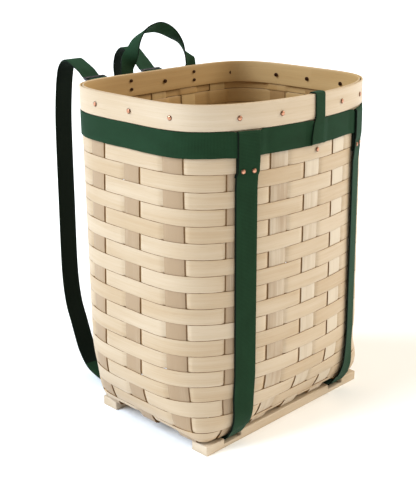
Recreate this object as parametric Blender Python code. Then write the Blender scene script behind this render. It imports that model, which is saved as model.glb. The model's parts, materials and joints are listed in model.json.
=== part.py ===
"""Pack basket: splint wall, two rim hoops, two base skids and a webbing harness.

X is the basket's width, the strapped outer face looks to -Y, the wearer's side
to +Y and Z is up.  Heights are measured from the floor that the skids stand on.
Every length is in metres.  A stake is an upright splint, and a weaver is one of
the hoops that pass in front of and behind the stakes in turn.
"""

import math
from collections import namedtuple

import bpy
import bmesh
import numpy as np
from mathutils import Matrix, Vector

# Wall: its plan at the rim, where its lines meet the floor, and at the base
RIM_TOP = 0.457
RIM_CENTRE_Y = 0.0095
FOOT_HALF_WIDTH = 0.192
FOOT_HALF_DEPTH = 0.1345
RIM_NARROWING = 0.015
RIM_DEEPENING = 0.0085
BASE_NARROWING = 0.028
BASE_SHALLOWING = 0.0325
RIM_HALF_WIDTH = FOOT_HALF_WIDTH - RIM_NARROWING
RIM_HALF_DEPTH = FOOT_HALF_DEPTH + RIM_DEEPENING
BASE_HALF_WIDTH = FOOT_HALF_WIDTH - BASE_NARROWING
BASE_HALF_DEPTH = FOOT_HALF_DEPTH - BASE_SHALLOWING
TUCK_TOP = 0.110
TUCK_POWER = 2.0
SQUARING_POWER = 2.0
RIM_POWERS = (2.05, 6.0, 4.0)
FOOT_POWERS = (2.2, 4.4, 3.5)
BASE_POWERS = (12.0, 12.0, 12.0)

# Splints
STAKE_WIDTH = 0.028
STAKE_THICKNESS = 0.0012
LONG_RIM_SHARE = 0.3277
LONG_BASE_SHARE = 0.375
LONG_PITCH_RIM = LONG_RIM_SHARE * RIM_HALF_WIDTH
LONG_PITCH_BASE = LONG_BASE_SHARE * BASE_HALF_WIDTH
CROSS_RIM_SHARE = 0.4615
CROSS_BASE_SHARE = 0.7255
CROSS_PITCH_RIM = CROSS_RIM_SHARE * RIM_HALF_DEPTH
CROSS_PITCH_BASE = CROSS_BASE_SHARE * BASE_HALF_DEPTH
LONG_COUNT = 5
CROSS_COUNT = 3
FILLER_WIDTH = 0.020
FILLER_INSET = 0.008
WEAVER_THICKNESS = 0.0010
ROW_PITCH = 0.0212
FIRST_ROW_TOP = 0.0338
WALL_BOTTOM_RISE = 0.0015
BEND_INSET = 0.004
ROW_GAP = 0.0010
SEAT_GAP = 0.0003
EDGE_CLEARANCE = 0.0005
TIP_HALF_WIDTH = 0.0004
POINTS_BETWEEN_STAKES = 1
POINTS_AT_CORNERS = 2

# Rim hoops
RIM_HEIGHT = 0.0315
HOOP_THICKNESS = 0.0022
STAKE_BELOW_RIM_TOP = 0.004

# Skids
SKID_INSET = 0.00475
SKID_LENGTH = 2.0 * (BASE_HALF_WIDTH - SKID_INSET)
SKID_WIDTH = 0.028
SKID_HEIGHT = 0.0136
SKID_STAND = 0.0023
SKID_OUTER_Y = BASE_HALF_DEPTH + SKID_STAND
SKID_BEVEL = 0.0012
NOTCH_WIDTH = 0.032
NOTCH_FLOOR = 0.0055
NOTCH_INSET = 0.013
NOTCH_X = 2.0 * LONG_PITCH_BASE - NOTCH_INSET

# Webbing
WEBBING_WIDTH = 0.030
WEBBING_THICKNESS = 0.0018
NOTCHED_WIDTH = 0.030
BAND_WIDTH = 0.034
BAND_THICKNESS = 0.0016
BAND_BELOW_RIM = 0.0035
BAND_OVERHANG_OUTER = 0.0005
BAND_OVERHANG_INNER = 0.0118
BURR_ROOM = 0.0014
STRAP_INSET = 0.008
STRAP_X_TOP = 2.0 * LONG_PITCH_RIM - STRAP_INSET
STRAP_END_DROP = 0.020
TUCK_STAND = 0.0020
NOTCH_DIP_SHARES = ((-0.035, 1.0), (0.10, 0.62), (0.33, 0.22), (0.65, 0.0))
NARROW_FROM = 0.060
FRONT_RIVET_DROP = 0.011
FRONT_RIVET_PITCH = 0.0146
STRAP_EXIT = 0.0040
STRAP_SAMPLES = 2

# Shoulder straps and their buckles
FLOOR_RUN = 0.075
STRAP_REACH = 0.147
FLOOR_SHARES = ((0.5, 0.0112), (0.98, 0.0122))
RISE_SHARES = (
    (0.36, 0.042), (0.435, 0.076), (0.515, 0.140), (0.633, 0.225), (0.745, 0.375),
    (0.850, 0.556), (0.932, 0.718), (0.985, 0.840), (1.000, 0.945), (0.985, 0.988),
    (0.937, 1.014), (0.865, 1.0285), (0.800, 1.0215), (0.715, 1.005), (0.640, 0.990),
)
SHOULDER_INSET = 0.003
SHOULDER_X_TOP = LONG_PITCH_RIM - SHOULDER_INSET
BUCKLE_REACH = 0.068
BUCKLE_BELOW_RIM = 0.0160
BUCKLE_SLOPE_SHARE = 0.38
BUCKLE_THICKNESS = 0.0024
BUCKLE_BAR = 0.0032
BUCKLE_BAR_PITCH = 0.010
BUCKLE_RAIL = 0.004
BUCKLE_SIDE_GAP = 0.001
RAMP_LEAD = 0.018
TAIL_REACH = 0.009
TAB_LOW_END = 0.004
TAB_BEND_RADIUS = 0.014
TAB_BEND_STEPS = 4

# Carrying handle: shares of its reach in X, Y and Z, and its turn about its own line in degrees
HANDLE_WIDTH = 0.022
HANDLE_SPREAD = 0.0035
HANDLE_X = LONG_PITCH_RIM + HANDLE_SPREAD
HANDLE_SHIFT = 0.0075
HANDLE_RISE = 0.0553
HANDLE_BULGE = 0.002
HANDLE_PATH_SHARES = (
    (-1.0, 0.0, 0.0, -90.0), (-0.985, 0.3, 0.08, -86.0), (-0.93, 0.8, 0.22, -66.0),
    (-0.80, 0.8, 0.47, -12.0), (-0.683, 0.5, 0.72, 10.0), (-0.478, 0.2, 0.925, 33.0),
    (-0.26, 0.1, 0.985, 46.0), (-0.03, 0.0, 1.0, 52.0), (0.19, 0.1, 0.925, 46.0),
    (0.404, 0.2, 0.805, 33.0), (0.623, 0.5, 0.630, 7.0), (0.783, 0.8, 0.442, -24.0),
    (0.92, 0.8, 0.21, -58.0), (0.983, 0.4, 0.08, -80.0), (1.0, 0.0, 0.0, -90.0),
)
HANDLE_HINGE_RISE = 0.0032
HINGE_EDGE_SHARE = 0.06
HANDLE_TAB_DROP = 0.029
HANDLE_RIVET_LOW = 0.020
HANDLE_RIVET_PITCH = 0.013
HANDLE_SAMPLES = 2

# Keeper tab over the front rim
KEEPER_WIDTH = 0.018
KEEPER_STAND_BEFORE = 0.0125
KEEPER_STAND_AFTER = -0.0025
KEEPER_RIVET_DROP = 0.0072
KEEPER_RIVET_SHIFT = 0.0030
KEEPER_END_DROP = 0.016
KEEPER_INNER_EASE = 0.0006
KEEPER_TUCK = 0.026

# Copper rivets
SHANK_RADIUS = 0.0014
HEAD_RADIUS = 0.0034
HEAD_HEIGHT = 0.0015
BURR_RADIUS = 0.0036
BURR_HEIGHT = 0.0008
RIVET_SIDES = 8
CUT_OVERRUN = 0.004

# Values worked out from the sizes above
BASE_LEVEL = SKID_HEIGHT + 2.0 * SEAT_GAP + 1.5 * STAKE_THICKNESS
WALL_BOTTOM = BASE_LEVEL + WALL_BOTTOM_RISE
RIM_BOTTOM = RIM_TOP - RIM_HEIGHT
WEAVE_OFFSET = 0.5 * (STAKE_THICKNESS + WEAVER_THICKNESS) + SEAT_GAP
WEAVE_FACE = WEAVE_OFFSET + 0.5 * WEAVER_THICKNESS
BASE_WAVE = STAKE_THICKNESS + SEAT_GAP
HOOP_OFFSET = 0.5 * (STAKE_THICKNESS + HOOP_THICKNESS) + SEAT_GAP
HOOP_FACE = HOOP_OFFSET + 0.5 * HOOP_THICKNESS
BAND_TOP = RIM_BOTTOM - BAND_BELOW_RIM
BAND_BOTTOM = BAND_TOP - BAND_WIDTH
BAND_OFFSET = WEAVE_FACE + SEAT_GAP + 0.5 * BAND_THICKNESS
HALF_WEB = 0.5 * WEBBING_THICKNESS
UNDER_BAND = WEAVE_FACE + BURR_ROOM + HALF_WEB
BAND_STAND = UNDER_BAND + HALF_WEB + SEAT_GAP + 0.5 * BAND_THICKNESS
OVER_BAND = BAND_STAND + 0.5 * BAND_THICKNESS + SEAT_GAP + HALF_WEB
LOOP_RADIUS = 0.5 * (OVER_BAND - UNDER_BAND)
STRAP_STAND = WEAVE_FACE + 2.0 * SEAT_GAP + HALF_WEB
DOUBLED_OFFSET = UNDER_BAND + WEBBING_THICKNESS + SEAT_GAP
STRAP_FLOOR = NOTCH_FLOOR + SEAT_GAP + HALF_WEB
SKID_INNER_Y = SKID_OUTER_Y - SKID_WIDTH
FIXED_END_Y = SKID_OUTER_Y + STRAP_EXIT
BACK_Y = RIM_CENTRE_Y + RIM_HALF_DEPTH
BUCKLE_Y = BACK_Y + BUCKLE_REACH
BUCKLE_Z = RIM_TOP - BUCKLE_BELOW_RIM
FRONT_RIVET_Z = BAND_BOTTOM - FRONT_RIVET_DROP
KEEPER_RIVET_Z = BAND_BOTTOM - KEEPER_RIVET_DROP
HANDLE_HINGE_Z = RIM_TOP + HANDLE_HINGE_RISE
HANDLE_OFFSET = HOOP_FACE + SEAT_GAP + HALF_WEB

Plan = namedtuple("Plan", "half_width half_depth centre_y front_power back_power side_power")
RIM_PLAN = Plan(RIM_HALF_WIDTH, RIM_HALF_DEPTH, RIM_CENTRE_Y, *RIM_POWERS)
FOOT_PLAN = Plan(FOOT_HALF_WIDTH, FOOT_HALF_DEPTH, 0.0, *FOOT_POWERS)
BASE_PLAN = Plan(BASE_HALF_WIDTH, BASE_HALF_DEPTH, 0.0, *BASE_POWERS)

LONG_REACH = LONG_COUNT // 2
CROSS_REACH = CROSS_COUNT // 2
FRONT = [("front", i) for i in range(-LONG_REACH, LONG_REACH + 1)]
RIGHT = [("right", j) for j in range(-CROSS_REACH, CROSS_REACH + 1)]
BACK = [("back", i) for i in range(LONG_REACH, -LONG_REACH - 1, -1)]
LEFT = [("left", j) for j in range(CROSS_REACH, -CROSS_REACH - 1, -1)]
STAKES = FRONT + RIGHT + BACK + LEFT


def lerp(start, end, share):
    """The value that lies a share of the way from start to end."""
    return start + (end - start) * share


def unit(vector):
    """The vector at length 1."""
    return vector / np.linalg.norm(vector)


# The wall's surface

def plan_at(height):
    """The wall's plan at one height: straight sided above, tucked in to a squarer base below."""
    rise = height / RIM_TOP
    upper = [lerp(foot, rim, rise) for foot, rim in zip(FOOT_PLAN, RIM_PLAN)]
    tuck = (TUCK_TOP - height) / (TUCK_TOP - WALL_BOTTOM)
    share = min(max(tuck, 0.0), 1.0) ** TUCK_POWER
    shares = (share,) * 3 + (share ** SQUARING_POWER,) * 3
    return Plan(*[lerp(high, low, part) for high, low, part in zip(upper, BASE_PLAN, shares)])


def long_face_y(plan, x, back):
    """Y of the front or back face at a given X."""
    power = plan.back_power if back else plan.front_power
    inside = max(1.0 - abs(x / plan.half_width) ** power, 0.0)
    reach = plan.half_depth * inside ** (1.0 / plan.side_power)
    return plan.centre_y + (reach if back else -reach)


def side_face_x(plan, y, right):
    """X of the right or left face at a given Y."""
    share = (y - plan.centre_y) / plan.half_depth
    power = plan.back_power if share > 0.0 else plan.front_power
    inside = max(1.0 - abs(share) ** plan.side_power, 0.0)
    reach = plan.half_width * inside ** (1.0 / power)
    return reach if right else -reach


def angle_of(plan, point):
    """The plan curve's own angle at a point on it."""
    x_share = point[0] / plan.half_width
    y_share = (point[1] - plan.centre_y) / plan.half_depth
    power = plan.back_power if y_share > 0.0 else plan.front_power
    cosine = math.copysign(abs(x_share) ** (0.5 * power), x_share)
    sine = math.copysign(abs(y_share) ** (0.5 * plan.side_power), y_share)
    return math.atan2(sine, cosine)


def point_at(plan, angle):
    """The point of the plan curve at its own angle."""
    cosine = math.cos(angle)
    sine = math.sin(angle)
    power = plan.back_power if sine > 0.0 else plan.front_power
    x = plan.half_width * math.copysign(abs(cosine) ** (2.0 / power), cosine)
    y = plan.half_depth * math.copysign(abs(sine) ** (2.0 / plan.side_power), sine)
    return np.array([x, y + plan.centre_y])


def stake_chord(plan, height, stake):
    """The two edges of one stake's place in the wall, in the order of the ring."""
    face, number = stake
    rise = height / RIM_TOP
    if face in ("front", "back"):
        centre = number * lerp(LONG_PITCH_BASE, LONG_PITCH_RIM, rise)
        back = face == "back"

        def on_wall(along):
            return np.array([along, long_face_y(plan, along, back)])
    else:
        centre = plan.centre_y + number * lerp(CROSS_PITCH_BASE, CROSS_PITCH_RIM, rise)
        right = face == "right"

        def on_wall(along):
            return np.array([side_face_x(plan, along, right), along])
    half = 0.5 * STAKE_WIDTH
    slope = np.linalg.norm(on_wall(centre + half) - on_wall(centre - half)) / STAKE_WIDTH
    first = on_wall(centre - half / slope)
    last = on_wall(centre + half / slope)
    if face in ("back", "left"):
        first, last = last, first
    middle = 0.5 * (first + last)
    along = unit(last - first) * (half + EDGE_CLEARANCE)
    return middle - along, middle + along


def ring(height):
    """The wall's outline at one height: two points for each stake, and some between."""
    plan = plan_at(height)
    chords = [stake_chord(plan, height, stake) for stake in STAKES]
    points = []
    for number, stake in enumerate(STAKES):
        following = (number + 1) % len(STAKES)
        points.extend(chords[number])
        corner = STAKES[following][0] != stake[0]
        count = POINTS_AT_CORNERS if corner else POINTS_BETWEEN_STAKES
        start = angle_of(plan, chords[number][1])
        end = angle_of(plan, chords[following][0])
        if end < start:
            end += 2.0 * math.pi
        for step in range(1, count + 1):
            points.append(point_at(plan, lerp(start, end, step / (count + 1))))
    return np.array([(x, y, height) for x, y in points])


def ring_places():
    """For each point of a ring: its stake, or the stakes it lies between and the share."""
    places = []
    for number, stake in enumerate(STAKES):
        following = (number + 1) % len(STAKES)
        places += [(number, number, 0.0), (number, number, 0.0)]
        corner = STAKES[following][0] != stake[0]
        count = POINTS_AT_CORNERS if corner else POINTS_BETWEEN_STAKES
        for step in range(1, count + 1):
            places.append((number, following, step / (count + 1)))
    return places


PLACES = ring_places()
STAKE_START = {place[0]: index - 1 for index, place in enumerate(PLACES) if place[2] == 0.0}


def outward(low, high):
    """Vectors square to the strip between two rings, long enough to mitre its corners."""
    middle = 0.5 * (low + high)
    ahead = np.roll(middle, -1, axis=0) - middle
    ahead[:, 2] = 0.0
    ahead /= np.linalg.norm(ahead, axis=1)[:, None]
    behind = np.roll(ahead, 1, axis=0)
    normals = np.stack([ahead[:, 1], -ahead[:, 0], 0.0 * ahead[:, 0]], axis=1)
    before = np.stack([behind[:, 1], -behind[:, 0], 0.0 * behind[:, 0]], axis=1)
    mitre = normals + before
    mitre /= np.linalg.norm(mitre, axis=1)[:, None]
    spread = (mitre * normals).sum(axis=1)
    climb = high - low
    along = (mitre * climb).sum(axis=1) / (climb * climb).sum(axis=1)
    square = mitre - climb * along[:, None]
    square /= np.linalg.norm(square, axis=1)[:, None]
    return square / spread[:, None]


def row_edges():
    """Heights of the edges between rows, from the base to the rim's lower edge."""
    edges = [WALL_BOTTOM]
    count = math.ceil((RIM_BOTTOM - FIRST_ROW_TOP) / ROW_PITCH)
    edges += [FIRST_ROW_TOP + ROW_PITCH * number for number in range(count)]
    edges.append(RIM_BOTTOM)
    return edges


ROW_EDGES = row_edges()


def wall_frame(height, number, shift=0.0):
    """A place on one stake's line: its centre, the way across and the way out."""
    plan = plan_at(height)
    step = SEAT_GAP
    first, last = stake_chord(plan, height, STAKES[number])
    above = stake_chord(plan_at(height + step), height + step, STAKES[number])
    middle = np.append(0.5 * (first + last), height)
    across = np.append(unit(last - first), 0.0)
    climb = np.append(0.5 * (above[0] + above[1]), height + step) - middle
    outer = unit(np.cross(across, climb))
    return middle + across * shift, across, outer


def keeper_frame(height, beside=0.0):
    """The keeper's place on the wall, beside the middle front stake, as wall_frame gives it."""
    start = STAKE_START[LONG_REACH] + 1
    step = SEAT_GAP
    here, above = ring(height), ring(height + step)
    across = unit(here[start + 1] - here[start])
    shift = 0.5 * (KEEPER_STAND_AFTER - KEEPER_STAND_BEFORE) + beside
    middle = 0.5 * (here[start] + here[start + 1]) + across * shift
    climb = 0.5 * (above[start] + above[start + 1] - here[start] - here[start + 1])
    return middle, across, unit(np.cross(across, climb))


# Making objects

def material(name, colour, roughness, metallic=0.0):
    """A plain finish in the part's colour."""
    finish = bpy.data.materials.new(name)
    finish.use_nodes = True
    shader = finish.node_tree.nodes["Principled BSDF"]
    shader.inputs["Base Color"].default_value = (*colour, 1.0)
    shader.inputs["Roughness"].default_value = roughness
    shader.inputs["Metallic"].default_value = metallic
    return finish


def add_object(name, mesh, finish=None, parent=None):
    """A mesh as a named object, parented without moving it."""
    item = bpy.data.objects.new(name, mesh)
    bpy.context.scene.collection.objects.link(item)
    if finish:
        mesh.materials.append(finish)
    if parent:
        item.parent = parent
        item.matrix_parent_inverse = parent.matrix_world.inverted()
    return item


def add_empty(name, place, parent=None):
    """An empty on a joint's axis, or at the origin of the whole basket."""
    item = bpy.data.objects.new(name, None)
    bpy.context.scene.collection.objects.link(item)
    item.location = place
    bpy.context.view_layer.update()
    if parent:
        item.parent = parent
        item.matrix_parent_inverse = parent.matrix_world.inverted()
        bpy.context.view_layer.update()
    return item


def sheet(name, one_edge, other_edge, thickness, finish, parent, closed=False, crease=None):
    """A strip between two edge lines, given its thickness by Solidify.

    A crease of "ahead" or "behind" splits every panel the same way, so that strips lying
    on each other stay parallel where the wall twists.
    """
    builder = bmesh.new()
    ones = [builder.verts.new(point) for point in one_edge]
    others = [builder.verts.new(point) for point in other_edge]
    last = len(ones) if closed else len(ones) - 1
    for index in range(last):
        after = (index + 1) % len(ones)
        near, far = ones[index], ones[after]
        near_other, far_other = others[index], others[after]
        if crease == "ahead":
            builder.faces.new((near, far, far_other))
            builder.faces.new((near, far_other, near_other))
        elif crease == "behind":
            builder.faces.new((near, far, near_other))
            builder.faces.new((far, far_other, near_other))
        else:
            builder.faces.new((near, far, far_other, near_other))
    bmesh.ops.recalc_face_normals(builder, faces=builder.faces)
    mesh = bpy.data.meshes.new(name)
    builder.to_mesh(mesh)
    builder.free()
    item = add_object(name, mesh, finish, parent)
    solid = item.modifiers.new("Thickness", "SOLIDIFY")
    solid.thickness = thickness
    solid.offset = 0.0
    solid.use_even_offset = True
    solid.use_rim = True
    return item


def ribbon(name, centres, across, half_widths, thickness, finish, parent, thin_rows=()):
    """A strip of webbing along a line of centres, with its own way across at each.

    Rows named in thin_rows are brought to a thin edge, for a hinge line.
    """
    ones = [centre - way * half for centre, way, half in zip(centres, across, half_widths)]
    others = [centre + way * half for centre, way, half in zip(centres, across, half_widths)]
    item = sheet(name, ones, others, thickness, finish, parent)
    if thin_rows:
        count = len(ones)
        full = item.vertex_groups.new(name="Full thickness")
        full.add(list(range(2 * count)), 1.0, "REPLACE")
        for row in thin_rows:
            full.add([row % count, row % count + count], HINGE_EDGE_SHARE, "REPLACE")
        item.modifiers["Thickness"].vertex_group = full.name
    return item


def smooth(points, samples):
    """Points along a smooth curve through the given points."""
    points = [np.array(point, dtype=float) for point in points]
    padded = [2.0 * points[0] - points[1]] + points + [2.0 * points[-1] - points[-2]]
    curve = []
    for index in range(1, len(padded) - 2):
        a, b, c, d = padded[index - 1:index + 3]
        for step in range(samples):
            t = step / samples
            curve.append(0.5 * (2.0 * b + (c - a) * t + (2.0 * a - 5.0 * b + 4.0 * c - d) * t ** 2
                                + (3.0 * b - a - 3.0 * c + d) * t ** 3))
    curve.append(points[-1])
    return curve


def ways_across(centres, across):
    """The way across a ribbon at each centre, kept square to the line."""
    centres = np.array(centres)
    tangents = np.gradient(centres, axis=0)
    ways = []
    for tangent in tangents:
        tangent = unit(tangent)
        ways.append(unit(across - tangent * np.dot(across, tangent)))
    return ways


def extruded(name, outline, start, push, finish, parent):
    """A flat outline pushed along a vector."""
    builder = bmesh.new()
    face = builder.faces.new([builder.verts.new(point) for point in outline])
    bmesh.ops.translate(builder, verts=builder.verts, vec=start)
    grown = bmesh.ops.extrude_face_region(builder, geom=[face])
    moved = [item for item in grown["geom"] if isinstance(item, bmesh.types.BMVert)]
    bmesh.ops.translate(builder, verts=moved, vec=push)
    bmesh.ops.recalc_face_normals(builder, faces=builder.faces)
    mesh = bpy.data.meshes.new(name)
    builder.to_mesh(mesh)
    builder.free()
    return add_object(name, mesh, finish, parent)


def turned(name, profile, sides, finish, parent, place, axis):
    """A profile of radius and height, spun about the way that it points."""
    builder = bmesh.new()
    verts = [builder.verts.new((radius, 0.0, rise)) for radius, rise in profile]
    edges = [builder.edges.new(pair) for pair in zip(verts, verts[1:])]
    bmesh.ops.spin(builder, geom=verts + edges, axis=(0.0, 0.0, 1.0), cent=(0.0, 0.0, 0.0),
                   angle=2.0 * math.pi, steps=sides)
    bmesh.ops.remove_doubles(builder, verts=builder.verts, dist=0.01 * SEAT_GAP)
    bmesh.ops.recalc_face_normals(builder, faces=builder.faces)
    turn = Vector(axis).to_track_quat("Z", "Y").to_matrix().to_4x4()
    builder.transform(Matrix.Translation(Vector(place)) @ turn)
    mesh = bpy.data.meshes.new(name)
    builder.to_mesh(mesh)
    builder.free()
    if finish:
        mesh.shade_smooth()
        mesh.set_sharp_from_angle(angle=math.radians(40.0))
    return add_object(name, mesh, finish, parent)


def cut(item, cutter):
    """Take the cutter out of an object."""
    change = item.modifiers.new("Hole", "BOOLEAN")
    change.operation = "DIFFERENCE"
    change.solver = "EXACT"
    change.object = cutter


# The pieces of the basket

def weaver(row, finish, parent):
    """One hoop of the weave, outside and inside the stakes in turn."""
    low_edge, high_edge = ROW_EDGES[row], ROW_EDGES[row + 1]
    low, high = ring(low_edge), ring(high_edge)
    way = outward(low, high)
    share = 0.5 * ROW_GAP / (high_edge - low_edge)
    offsets = []
    for before, after, between in PLACES:
        first = WEAVE_OFFSET if (row + before) % 2 == 1 else -WEAVE_OFFSET
        last = WEAVE_OFFSET if (row + after) % 2 == 1 else -WEAVE_OFFSET
        offsets.append(-lerp(first, last, between))
    moved = way * np.array(offsets)[:, None]
    name = "weaver_%02d" % (row + 1)
    return sheet(name, lerp(low, high, share) + moved, lerp(high, low, share) + moved,
                 WEAVER_THICKNESS, finish, parent, closed=True, crease="ahead")


def hoop(name, offset, thickness, bottom, top, finish, parent):
    """A plain hoop at one distance from the stakes' middle."""
    low, high = ring(bottom), ring(top)
    moved = outward(low, high) * offset
    return sheet(name, low + moved, high + moved, thickness, finish, parent, closed=True)


def stake_levels():
    """Heights that a stake has points at: each row low down, every third row above."""
    low = [edge for edge in ROW_EDGES if edge < TUCK_TOP + ROW_PITCH]
    high = [edge for edge in ROW_EDGES[len(low):-1]]
    return low + high[2::3] + [RIM_BOTTOM, RIM_TOP - STAKE_BELOW_RIM_TOP]


def stake_edges(height, number):
    """The two edges of a stake at one height, inside the ring's own points."""
    first, last = stake_chord(plan_at(height), height, STAKES[number])
    inward = unit(last - first) * EDGE_CLEARANCE
    return np.append(first + inward, height), np.append(last - inward, height)


def base_members(count, pitch, width, filler_width):
    """Places and half widths of the splints that lie side by side in the base."""
    members = []
    reach = count // 2
    for number in range(-reach, reach + 1):
        members.append((number * pitch, 0.5 * width))
        if number < reach:
            members.append(((number + 0.5) * pitch, 0.5 * filler_width))
    return members


LONG_MEMBERS = base_members(LONG_COUNT, LONG_PITCH_BASE, STAKE_WIDTH, FILLER_WIDTH)
CROSS_MEMBERS = base_members(CROSS_COUNT, CROSS_PITCH_BASE, STAKE_WIDTH, STAKE_WIDTH)


def long_stake(number, finish, parent):
    """A splint that runs down the front, under the load and up the back."""
    front = FRONT.index(("front", number))
    back = STAKES.index(("back", number))
    levels = stake_levels()
    ones, others = [], []
    for height in reversed(levels):
        first, last = stake_edges(height, front)
        ones.append(first)
        others.append(last)
    centre = number * LONG_PITCH_BASE
    bend = BASE_HALF_DEPTH - BEND_INSET
    for y in (-bend, bend):
        ones.append(np.array([centre - 0.5 * STAKE_WIDTH, y, BASE_LEVEL]))
        others.append(np.array([centre + 0.5 * STAKE_WIDTH, y, BASE_LEVEL]))
    for height in levels:
        first, last = stake_edges(height, back)
        ones.append(last)
        others.append(first)
    name = "stake_long_%d" % (number + LONG_REACH + 1)
    return sheet(name, ones, others, STAKE_THICKNESS, finish, parent, crease="behind")


def base_wave(member):
    """Places along X and rises of a cross splint over and under the long ones."""
    line = []
    for index, (centre, half) in enumerate(LONG_MEMBERS):
        lift = BASE_WAVE if (index + member) % 2 == 0 else -BASE_WAVE
        line.append((centre - half, lift))
        line.append((centre + half, lift))
    return line


def cross_stake(number, finish, parent):
    """A splint that runs down one narrow face, through the base and up the other."""
    left = STAKES.index(("left", number))
    right = STAKES.index(("right", number))
    levels = stake_levels()
    ones, others = [], []
    for height in reversed(levels):
        first, last = stake_edges(height, left)
        ones.append(last)
        others.append(first)
    centre = number * CROSS_PITCH_BASE
    bend = BASE_HALF_WIDTH - BEND_INSET
    line = [(-bend, 0.0)] + base_wave(2 * (number + CROSS_REACH)) + [(bend, 0.0)]
    for x, lift in line:
        ones.append(np.array([x, centre - 0.5 * STAKE_WIDTH, BASE_LEVEL + lift]))
        others.append(np.array([x, centre + 0.5 * STAKE_WIDTH, BASE_LEVEL + lift]))
    for height in levels:
        first, last = stake_edges(height, right)
        ones.append(first)
        others.append(last)
    name = "stake_cross_%d" % (number + CROSS_REACH + 1)
    return sheet(name, ones, others, STAKE_THICKNESS, finish, parent, crease="ahead")


def base_fillers(finish, parent):
    """Short splints that close the base between the stakes."""
    end = BASE_HALF_DEPTH - FILLER_INSET
    for index, (centre, half) in enumerate(LONG_MEMBERS[1::2]):
        ones = [np.array([centre - half, y, BASE_LEVEL]) for y in (-end, end)]
        others = [np.array([centre + half, y, BASE_LEVEL]) for y in (-end, end)]
        sheet("base_filler_long_%d" % (index + 1), ones, others, STAKE_THICKNESS, finish, parent)
    end = BASE_HALF_WIDTH - FILLER_INSET
    for index, (centre, half) in enumerate(CROSS_MEMBERS[1::2]):
        line = base_wave(2 * index + 1)
        line = [(-end, line[0][1])] + line + [(end, line[-1][1])]
        ones = [np.array([x, centre - half, BASE_LEVEL + lift]) for x, lift in line]
        others = [np.array([x, centre + half, BASE_LEVEL + lift]) for x, lift in line]
        sheet("base_filler_cross_%d" % (index + 1), ones, others, STAKE_THICKNESS, finish, parent)


def skid(name, low_y, finish, parent):
    """A wooden runner with a notch over each strap."""
    half = 0.5 * SKID_LENGTH
    notch = 0.5 * NOTCH_WIDTH
    outline = [(-half, 0.0), (half, 0.0), (half, SKID_HEIGHT)]
    for centre in (NOTCH_X, -NOTCH_X):
        outline += [(centre + notch, SKID_HEIGHT), (centre + notch, NOTCH_FLOOR),
                    (centre - notch, NOTCH_FLOOR), (centre - notch, SKID_HEIGHT)]
    outline.append((-half, SKID_HEIGHT))
    item = extruded(name, [(x, 0.0, z) for x, z in outline], (0.0, low_y, 0.0),
                    (0.0, SKID_WIDTH, 0.0), finish, parent)
    bevel = item.modifiers.new("Worn edges", "BEVEL")
    bevel.width = SKID_BEVEL
    bevel.segments = 1
    bevel.limit_method = "ANGLE"
    return item


def harness_band(finish, parent):
    """The webbing belt under the rim, standing off where straps loop behind it."""
    low, high = ring(BAND_BOTTOM), ring(BAND_TOP)
    way = outward(low, high)
    standing = [(STAKE_START[0], BAND_OVERHANG_OUTER, BAND_OVERHANG_INNER),
                (STAKE_START[LONG_REACH] + 1, KEEPER_STAND_BEFORE, KEEPER_STAND_AFTER),
                (STAKE_START[2 * LONG_REACH], BAND_OVERHANG_INNER, BAND_OVERHANG_OUTER)]
    offsets = np.full(len(low), BAND_OFFSET)
    for start, before, after in standing:
        for edge in (low, high):
            along = unit(edge[start + 1] - edge[start])
            edge[start] -= along * before
            edge[start + 1] += along * after
        face = np.cross(unit(low[start + 1] - low[start]), unit(high[start] - low[start]))
        way[start] = way[start + 1] = unit(face)
        offsets[start] = offsets[start + 1] = BAND_STAND
    moved = way * offsets[:, None]
    return sheet("harness_band", low + moved, high + moved, BAND_THICKNESS, finish, parent,
                 closed=True)


def loop_round(offset, height, radius, start, end, steps):
    """Offsets and heights round a half circle, for a strap folded over an edge."""
    turns = [lerp(start, end, step / steps) for step in range(steps + 1)]
    return [(offset + radius * math.cos(turn), height + radius * math.sin(turn)) for turn in turns]


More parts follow.
